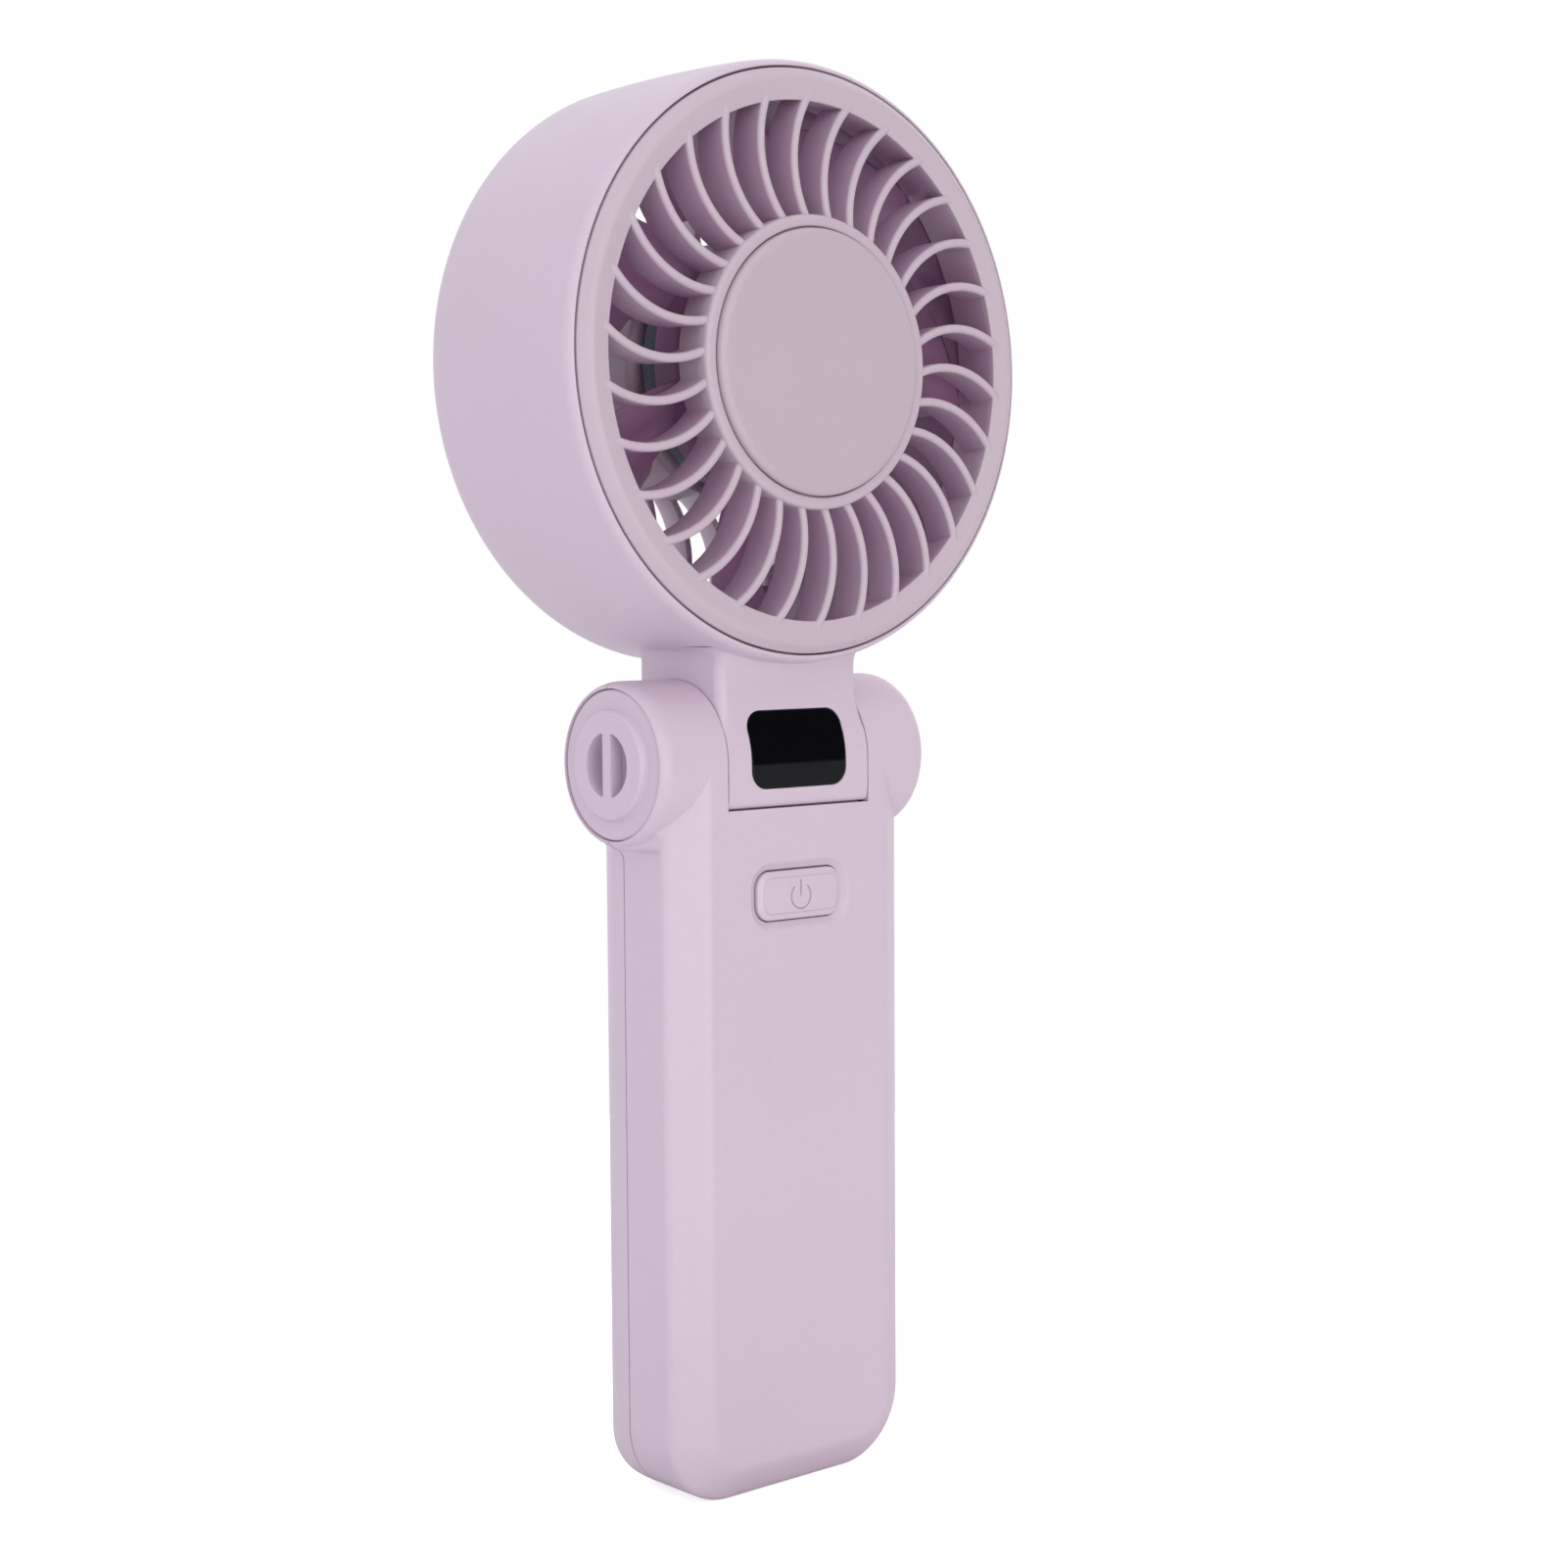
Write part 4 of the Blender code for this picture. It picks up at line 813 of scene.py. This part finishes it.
def make_rear_cap():
    radius = NACELLE_R - NACELLE_WALL - 0.2
    wall, rim_y = radius - 1.4, DRUM_BACK_Y - 3.0
    cap = [(0.0, DRUM_BACK_Y), (radius - 0.5, DRUM_BACK_Y), (radius, DRUM_BACK_Y - 0.6), (radius, rim_y),
           (wall, rim_y), (wall, DRUM_BACK_Y - 1.6), (0.0, DRUM_BACK_Y - 1.6)]
    cap = soften(cap, [0.0, 0.5, 0.4, 0.2, 0.2, 0.2, 0.0])
    piece(make("rear_disc", *turned(cap, "Y", HEAD_CENTRE)), "head", "rear_hub_cap", TRIM)


# Display window

def make_window():
    lens = window_block(0.0, 0.02, WINDOW_THICK)
    step = lens.modifiers.new("edge", "BEVEL")
    step.width = 0.2 * MM
    step.segments = 3
    step.limit_method = "ANGLE"
    step.angle_limit = math.radians(50)
    bake(lens)
    piece(lens, "head", "display_lens", GLOSS, 40)


# Impeller and motor can

def blade(turn):
    lead, trail = BLADE_SPAN
    rings = []
    rows = 10
    for row in range(rows + 1):
        at = row / rows * (len(BLADE_STATIONS) - 1)
        low = min(int(at), len(BLADE_STATIONS) - 2)
        inner, outer = BLADE_STATIONS[low:low + 2]
        radius, rake, chord = (a + (b - a) * (at - low) for a, b in zip(inner, outer))
        front, back = [], []
        for k in range(17):
            share = k / 16
            y = depth((lead + trail) / 2 + (share - 0.5) * (trail - lead) * chord)
            camber = BLADE_CAMBER * math.sin(math.pi * share) * 18.0 / radius
            angle = turn + rake + (share - 0.5) * BLADE_SWEEP * (0.75 + 0.25 * 20 / radius) + camber
            thick = BLADE_THICK * (0.22 + 0.78 * math.sin(math.pi * share) ** 0.6) / radius / 2
            for side, sign in ((front, 1), (back, -1)):
                a = math.radians(angle) + sign * thick
                side.append((radius * math.cos(a), y, HEAD_Z + radius * math.sin(a)))
        rings.append(front + back[::-1])
    return loft(rings)


def make_impeller():
    front, back = FAN_HUB
    inner = CAN_R + 0.3
    hub = [(1.3, depth(front)), (FAN_HUB_R, depth(front)), (FAN_HUB_R, depth(back)), (inner, depth(back)),
           (inner, depth(front + 1.6)), (1.3, depth(front + 1.6))]
    hub = soften(hub, [0.1, 1.2, 0.15, 0.15, 0.3, 0.1], 6)
    wheel = make("fan_wheel", *turned(hub, "Y", HEAD_CENTRE))
    clear = CAN_R + 0.6
    room = [(0.0, depth(front + 1.6)), (clear, depth(front + 1.6)), (clear, depth(back - 0.6)),
            (BLADE_CLEAR_R, depth(back + 1.6)), (BLADE_CLEAR_R, depth(30)), (0.0, depth(30))]
    space = make("can_space", *turned(room, "Y", HEAD_CENTRE))
    blades = make("blades", *many(blade(k * 360 / BLADE_COUNT) for k in range(BLADE_COUNT)))
    combine(blades, "DIFFERENCE", space)
    combine(wheel, "UNION", blades)
    # Painted shade: the whole impeller takes the darker interior lilac
    piece(wheel, "impeller", "impeller", INTERIOR_PAINTED_SHADE)


def make_can():
    front, back = CAN
    can = [(CAN_R, depth(back)), (CAN_R, depth(front)), (1.3, depth(front)), (1.3, depth(front + 0.9)),
           (CAN_R - 0.9, depth(front + 0.9)), (CAN_R - 0.9, depth(back))]
    can = soften(can, [0.2, 0.8, 0.05, 0.05, 0.4, 0.15], 6)
    item = make("motor_can", *turned(can, "Y", HEAD_CENTRE))
    piece(item, "impeller", "rotor_can", DARK_STEEL)


# Handle

def handle_stations():
    """(y, sideways inset, lift of the base) from front to back, with softened creases."""
    side, lift, deep = FRONT_CHAMFER
    front, back = HANDLE_FRONT_Y, HANDLE_BACK_Y
    edge_in = bezier((front, 1.16), (front, 1.0), (front + 0.17 * deep, 0.83), 5)
    edge_out = bezier((front + 0.84 * deep, 0.16), (front + deep, 0.0), (front + deep + 0.9, 0.0), 5)
    stations = [(y, side * share, lift * share) for y, share in edge_in + edge_out]
    flat_end = back - BACK_ROUND
    stations += [(y, 0.0, 0.0) for y in (SPLIT_Y - 2.0, SPLIT_Y + 0.1)]
    for k in range(1, 19):
        angle = math.radians(5 * k)
        y = flat_end + BACK_ROUND * math.sin(angle)
        under = min(max(0.0, (y - (back - BASE_BACK_ROUND)) / BASE_BACK_ROUND), 1.0)
        lift = BASE_BACK_ROUND * (1 - math.sqrt(1 - under**2))
        stations.append((y, BACK_ROUND * (1 - math.cos(angle)), lift))
    return stations


def ear_swell(y, z):
    """How far the handle's side grows outwards to meet the ear in a hollow curve."""
    reach = math.hypot(y - HINGE_Y, z - HINGE_Z) - KNUCKLE_R
    if reach >= EAR_FILLET:
        return 0.0
    fade = smooth_step(y - HANDLE_FRONT_Y, *EAR_FILLET_FRONT) * (1 - smooth_step(y, *EAR_FILLET_BACK))
    reach = max(reach, 0.0)
    return fade * (EAR_FILLET - math.sqrt(EAR_FILLET**2 - (EAR_FILLET - reach) ** 2))


def handle_ring(y, inset, lift):
    half, corner = HANDLE_HALF - inset, max(BASE_CORNER - inset, 0.8)
    rows = [HANDLE_TOP_Z - (HANDLE_TOP_Z - 84.0) * k / 56 for k in range(57)] + [60.0, 36.0]
    right = [(half + ear_swell(y, z), z) for z in rows]
    right += arc((half - corner, lift + corner), (corner, corner), 0, -90, 14)
    return [(x, y, z) for x, z in right + [(-x, z) for x, z in reversed(right)]]


def cavity():
    rings = []
    for y, inset, lift in handle_stations():
        share = (y - HANDLE_FRONT_Y) / (HANDLE_BACK_Y - HANDLE_FRONT_Y)
        inner_y = HANDLE_FRONT_Y + WALL + share * (HANDLE_BACK_Y - HANDLE_FRONT_Y - 2 * WALL)
        half, corner = HANDLE_HALF - WALL - inset * 0.9, max(BASE_CORNER - WALL - inset, 0.8)
        base = lift * 0.9 + WALL
        right = [(half, CAVITY_TOP_Z)] + arc((half - corner, base + corner), (corner, corner), 0, -90, 8)
        rings.append([(x, inner_y, z) for x, z in right + [(-x, z) for x, z in reversed(right)]])
    return loft(rings)


def ear(sign):
    wide, down = EAR_ROUND
    profile = [(0.0, EAR_INNER - 1), (KNUCKLE_R, EAR_INNER - 1)]
    profile += [(r, x) for x, r in arc((EAR_OUTER - wide, KNUCKLE_R - down), EAR_ROUND, 90, 0, 10)]
    profile.append((0.0, EAR_OUTER))
    return turned([(r, sign * x) for r, x in profile], "X", HINGE)


def ear_room(sign):
    seat, wall = EAR_OUTER - CAP_THICK - 0.2, EAR_INNER + EAR_WALL
    steps = [(0.0, EAR_OUTER + 3), (CAP_SEAT_R, EAR_OUTER + 3), (CAP_SEAT_R, seat), (EAR_ROOM_R, seat),
             (EAR_ROOM_R, wall), (PIN_BORE_R, wall), (PIN_BORE_R, EAR_INNER - 2), (0.0, EAR_INNER - 2)]
    return turned([(r, sign * x) for r, x in steps], "X", HINGE)


def button_outline(grow):
    width, height = BUTTON
    return rounded(width / 2 + grow, height / 2 + grow, BUTTON_CORNER + grow)


def button_groove():
    """The recess round the button, which deepens in a curve towards it."""
    around, down = BUTTON_GROOVE
    rings = [(around * 1.5, HANDLE_FRONT_Y - 0.4)]
    for k in range(9):
        share = k / 8
        grow = around - (around - BUTTON_GAP) * share + 0.02
        rings.append((grow, HANDLE_FRONT_Y + down * math.sin(share * math.pi / 2) ** 1.4))
    return loft([[(x, y, BUTTON_Z + z) for x, z in button_outline(grow)] for grow, y in rings])


def usb_outline(grow, z0, z1):
    low, high = cad_box("usb_c_port")
    middle = (low[1] + high[1]) / 2
    half_x, half_y = (high[0] - low[0]) / 2 + grow, (high[1] - low[1]) / 2 + grow
    outline = rounded(half_x, half_y, min(1.3 + grow, half_y - 0.01))
    return loft([[(x, middle + y, z) for x, y in outline] for z in (z0, z1)])


def make_covers():
    trough_r = KNUCKLE_R + 0.22
    front_r, front_end = TROUGH_FRONT
    front_dip = math.degrees(math.asin((COVER_TOP_Z - HINGE_Z) / front_r))
    back_dip = math.degrees(math.asin((BACK_COVER_TOP_Z - HINGE_Z) / trough_r))
    trough = arc(HINGE, (front_r, front_r), -180 - front_dip, front_end - 180, 20)
    trough += arc(HINGE, (trough_r, trough_r), front_end - 170, back_dip, 40)
    outline = [(-30, 130), (-30, COVER_TOP_Z), *trough, (30, BACK_COVER_TOP_Z), (30, 130)]
    for name, node, y0, y1 in (("cover_front", "front_cover", -40.0, SPLIT_Y - SEAM_GAP / 2),
                               ("cover_rear", "rear_cover", SPLIT_Y + SEAM_GAP / 2, 40.0)):
        cover = make(name, *loft([handle_ring(*station) for station in handle_stations()]))
        combine(cover, "UNION", make("ear_left", *ear(-1)), make("ear_right", *ear(1)))
        saddle = loft([[(x, y, z) for y, z in outline] for x in (-EAR_INNER, EAR_INNER)])
        combine(cover, "DIFFERENCE", make("saddle", *saddle), make("room_left", *ear_room(-1)),
                make("room_right", *ear_room(1)), make("hollow", *cavity()))
        combine(cover, "INTERSECT", make("half", *box((-40, y0, -5), (40, y1, 130))))
        if node == "front_cover":
            hole = slab(button_outline(BUTTON_GAP), HANDLE_FRONT_Y - 3, HANDLE_FRONT_Y + 4, (0.0, BUTTON_Z))
            combine(cover, "DIFFERENCE", make("groove", *button_groove()), make("button_hole", *hole),
                    make("usb_hole", *usb_outline(0.2, -3.0, 8.0)))
        piece(cover, "handle", node, SHELL)


def make_caps():
    """Round caps over the ears, each with two slots either side of a bar for a wrist strap."""
    for name, node, sign in (("cap_left", "left_cap", -1), ("cap_right", "right_cap", 1)):
        face, back = EAR_OUTER - CAP_RECESS, EAR_OUTER - CAP_THICK
        boss = EAR_OUTER + CAP_BOSS
        cup_r, cup_end = CAP_SLOT_R + CAP_CUP[0], back - CAP_CUP[1]
        steps = [(0.0, boss), (CAP_BOSS_R, boss), (CAP_BOSS_R + 0.25, face), (CAP_R, face), (CAP_R, back),
                 (cup_r, back), (cup_r, cup_end), (0.0, cup_end)]
        steps = soften(steps, [0.0, 0.45, 0.3, 0.3, 0.1, 0.1, 0.3, 0.0], 6)
        cap = make(name, *turned([(r, sign * x) for r, x in steps], "X", HINGE))
        start, straight, bottom = CAP_BOWL
        bowl_r = CAP_SLOT_R - 0.02
        bowl = [(0.0, face - start), (bowl_r, face - start)]
        bowl += arc((0.0, back - straight), (bowl_r, bottom), 0, -90, 10)[:-1]
        bowl.append((0.0, back - straight - bottom))
        tilt = math.degrees(math.acos(CAP_BAR / 2 / CAP_SLOT_R))
        slots = []
        for side in (-1, 1):
            rim = arc((0, 0), (CAP_SLOT_R, CAP_SLOT_R), -tilt, tilt, 24)
            corners = [0.35 if k in (0, len(rim) - 1) else 0.0 for k in range(len(rim))]
            outline = [(side * a, b) for a, b in soften(rim, corners)]
            slots.append(loft([[(sign * x, HINGE_Y + a, HINGE_Z + b) for a, b in outline]
                               for x in (face - 1.2, boss + 1)]))
        combine(cap, "DIFFERENCE", make("cap_slots", *many(slots)),
                make("cap_bowl", *turned([(r, sign * x) for r, x in bowl], "X", HINGE, SMALL_ROUND)))
        piece(cap, "handle", node, SHELL)


def make_button():
    face = cad_box("power_button")[0][1]
    back = HANDLE_FRONT_Y + WALL + 0.3
    rings = [(button_outline(grow), face + sunk) for grow, sunk in BUTTON_EDGE]
    rings += [(button_outline(0.0), back), (button_outline(0.9), back), (button_outline(0.9), back + 0.9)]
    button = make("button", *loft([[(x, y, BUTTON_Z + z) for x, z in ring] for ring, y in rings]))

    # Engraved power symbol: an open ring and a bar
    half = SYMBOL_LINE / 2
    outer, inner = (arc((0.0, 0.0), (radius, radius), 90 + SYMBOL_OPEN, 450 - SYMBOL_OPEN, 48)
                    for radius in (SYMBOL_R + half, SYMBOL_R - half))
    low, high = SYMBOL_BAR
    bar = [(half, low), (half, high), (-half, high), (-half, low)]
    cuts = [slab(outline, face - 1, face + SYMBOL_LINE, (0.0, BUTTON_Z - SYMBOL_DROP))
            for outline in (outer + inner[::-1], bar)]
    combine(button, "DIFFERENCE", make("symbol", *many(cuts)))
    piece(button, "button", "power_button", SHELL, 20)


def make_socket():
    low, high = cad_box("usb_c_port")
    port = make("charge_socket", *usb_outline(0.0, low[2], high[2]))
    combine(port, "DIFFERENCE", make("mouth", *usb_outline(-0.3, low[2] - 2, high[2] - 0.6)))
    piece(port, "handle", "usb_c_port", STEEL)


# Studio

WORLD_BASE = 0.80
WORLD_TOP = 0.10
WORLD_BACK = 0.22
WORLD_DARK = 0.9
WORLD_WINDOW = (0.76, 0.88)  # cosines over which the dark window in front sets in
WORLD_SILL = (-0.045, -0.02)  # heights over which its lower half turns into its darker upper half
WORLD_TINT = (0.985, 0.985, 1.035)
FLOOR_R = 270.0
FLOOR_GLOW = 0.72
LIGHTS = [
    ("key", (-0.25, -1.1, 0.55), (0.8, 0.8), 2.2, (1.0, 0.985, 0.91)),
    ("rim", (0.9, 0.55, 0.55), (0.5, 0.9), 1.3, (1.0, 1.0, 1.0)),
    ("fill", (-0.05, -0.9, 0.03), (0.7, 0.3), 1.6, (1.0, 0.985, 0.92)),
]


def make_studio():
    scene = bpy.context.scene
    scene.view_settings.view_transform = "Standard"
    world = bpy.data.worlds.new("studio")
    scene.world = world
    world.use_nodes = True
    tree = world.node_tree
    back = tree.nodes["Background"]
    back.inputs["Color"].default_value = (1.0, 1.0, 1.0, 1.0)
    back.inputs["Strength"].default_value = 1.0
    out = tree.nodes["World Output"]
    soft = tree.nodes.new("ShaderNodeBackground")
    coordinates = tree.nodes.new("ShaderNodeTexCoord")

    def node(kind, operation, *values):
        item = tree.nodes.new(kind)
        item.operation = operation
        for socket, value in zip(item.inputs, values):
            if isinstance(value, (int, float, tuple)):
                socket.default_value = value
            else:
                tree.links.new(value, socket)
        return item

    def towards(direction, low, high, strength):
        """Strength that rises smoothly as a direction turns towards the given one."""
        dot = node("ShaderNodeVectorMath", "DOT_PRODUCT", coordinates.outputs["Generated"],
                   tuple(Vector(direction).normalized()))
        ramp = tree.nodes.new("ShaderNodeMapRange")
        ramp.interpolation_type = "SMOOTHSTEP"
        for key, value in (("From Min", low), ("From Max", high), ("To Min", 0.0), ("To Max", strength)):
            ramp.inputs[key].default_value = value
        tree.links.new(dot.outputs["Value"], ramp.inputs["Value"])
        return ramp.outputs["Result"]

    yaw = math.radians(CAMERA_YAW)
    total = node("ShaderNodeMath", "ADD", towards((0, 0, 1), 0.1, 0.95, WORLD_TOP), WORLD_BASE)
    total = node("ShaderNodeMath", "ADD", total.outputs["Value"],
                 towards((math.sin(yaw), math.cos(yaw), 0.1), 0.0, 0.8, WORLD_BACK))
    window = node("ShaderNodeMath", "MULTIPLY",
                  towards((math.sin(yaw), -math.cos(yaw), 0.06), *WORLD_WINDOW, WORLD_DARK),
                  node("ShaderNodeMath", "ADD", towards((0, 0, 1), *WORLD_SILL, 0.5), 0.5).outputs["Value"])
    total = node("ShaderNodeMath", "SUBTRACT", total.outputs["Value"], window.outputs["Value"])
    total = node("ShaderNodeMath", "MAXIMUM", total.outputs["Value"], 0.0)
    soft.inputs["Color"].default_value = (*WORLD_TINT, 1.0)
    tree.links.new(total.outputs["Value"], soft.inputs["Strength"])
    path = tree.nodes.new("ShaderNodeLightPath")
    mix = tree.nodes.new("ShaderNodeMixShader")
    tree.links.new(path.outputs["Is Camera Ray"], mix.inputs["Fac"])
    tree.links.new(soft.outputs["Background"], mix.inputs[1])
    tree.links.new(back.outputs["Background"], mix.inputs[2])
    tree.links.new(mix.outputs["Shader"], out.inputs["Surface"])

    for name, place, size, power, tint in LIGHTS:
        data = bpy.data.lights.new(name, "AREA")
        data.shape = "RECTANGLE"
        data.size, data.size_y = size
        data.energy = power
        data.color = tint
        lamp = bpy.data.objects.new(name, data)
        lamp.location = place
        aim = Vector((0.0, 0.0, 0.11)) - Vector(place)
        lamp.rotation_euler = aim.to_track_quat("-Z", "Y").to_euler()
        bpy.context.scene.collection.objects.link(lamp)

    outline = arc((0.0, 0.0), (FLOOR_R, FLOOR_R), 0, 360, 96)[:-1]
    floor = make("floor", *loft([[(x, y, z) for x, y in outline] for z in (-4.0, -0.02)]))
    nodes = Nodes("floor")
    nodes.link(nodes.span(nodes.noise(9.0), 0.93, 0.96), nodes.shader.inputs["Roughness"])
    pale = nodes.mix(nodes.span(nodes.noise(14.0), 0.0, 1.0), (0.80, 0.79, 0.80), (0.83, 0.82, 0.83))
    nodes.link(pale, nodes.shader.inputs["Base Color"])
    nodes.shader.inputs["Emission Color"].default_value = (1.0, 1.0, 1.0, 1.0)
    path = nodes.add("ShaderNodeLightPath")
    glow = nodes.math("MULTIPLY", path.outputs["Is Camera Ray"], FLOOR_GLOW)
    nodes.link(glow, nodes.shader.inputs["Emission Strength"])
    nodes.shader.inputs["Specular IOR Level"].default_value = 0.0
    floor.data.materials.append(nodes.material)


CARRIED = {
    STEEL: ["motor_shaft", "bearing_front", "bearing_rear", "hinge_pin_left", "hinge_pin_right",
            "board_screw_1", "board_screw_2", "board_screw_3", "board_screw_4"],
    BRASS: ["friction_washer_left", "friction_washer_right"],
    BLACK: ["tact_switch", "usb_c_tongue"],
    CIRCUIT: ["main_board", "motor_board", "display_board"],
    COPPER: ["motor_stator"],
    MAGNET: ["magnet_ring"],
    FOIL: ["battery_pack"],
    FOAM: ["foam_pad"],
}

make_head_shell()
make_front_grille()
make_disc()
make_rear_grille()
make_rear_cap()
make_window()
make_impeller()
make_can()
make_covers()
make_caps()
make_button()
make_socket()
for material, names in CARRIED.items():
    for node_name in names:
        for slot in frame["nodes"][node_name].material_slots:
            slot.material = material
make_studio()
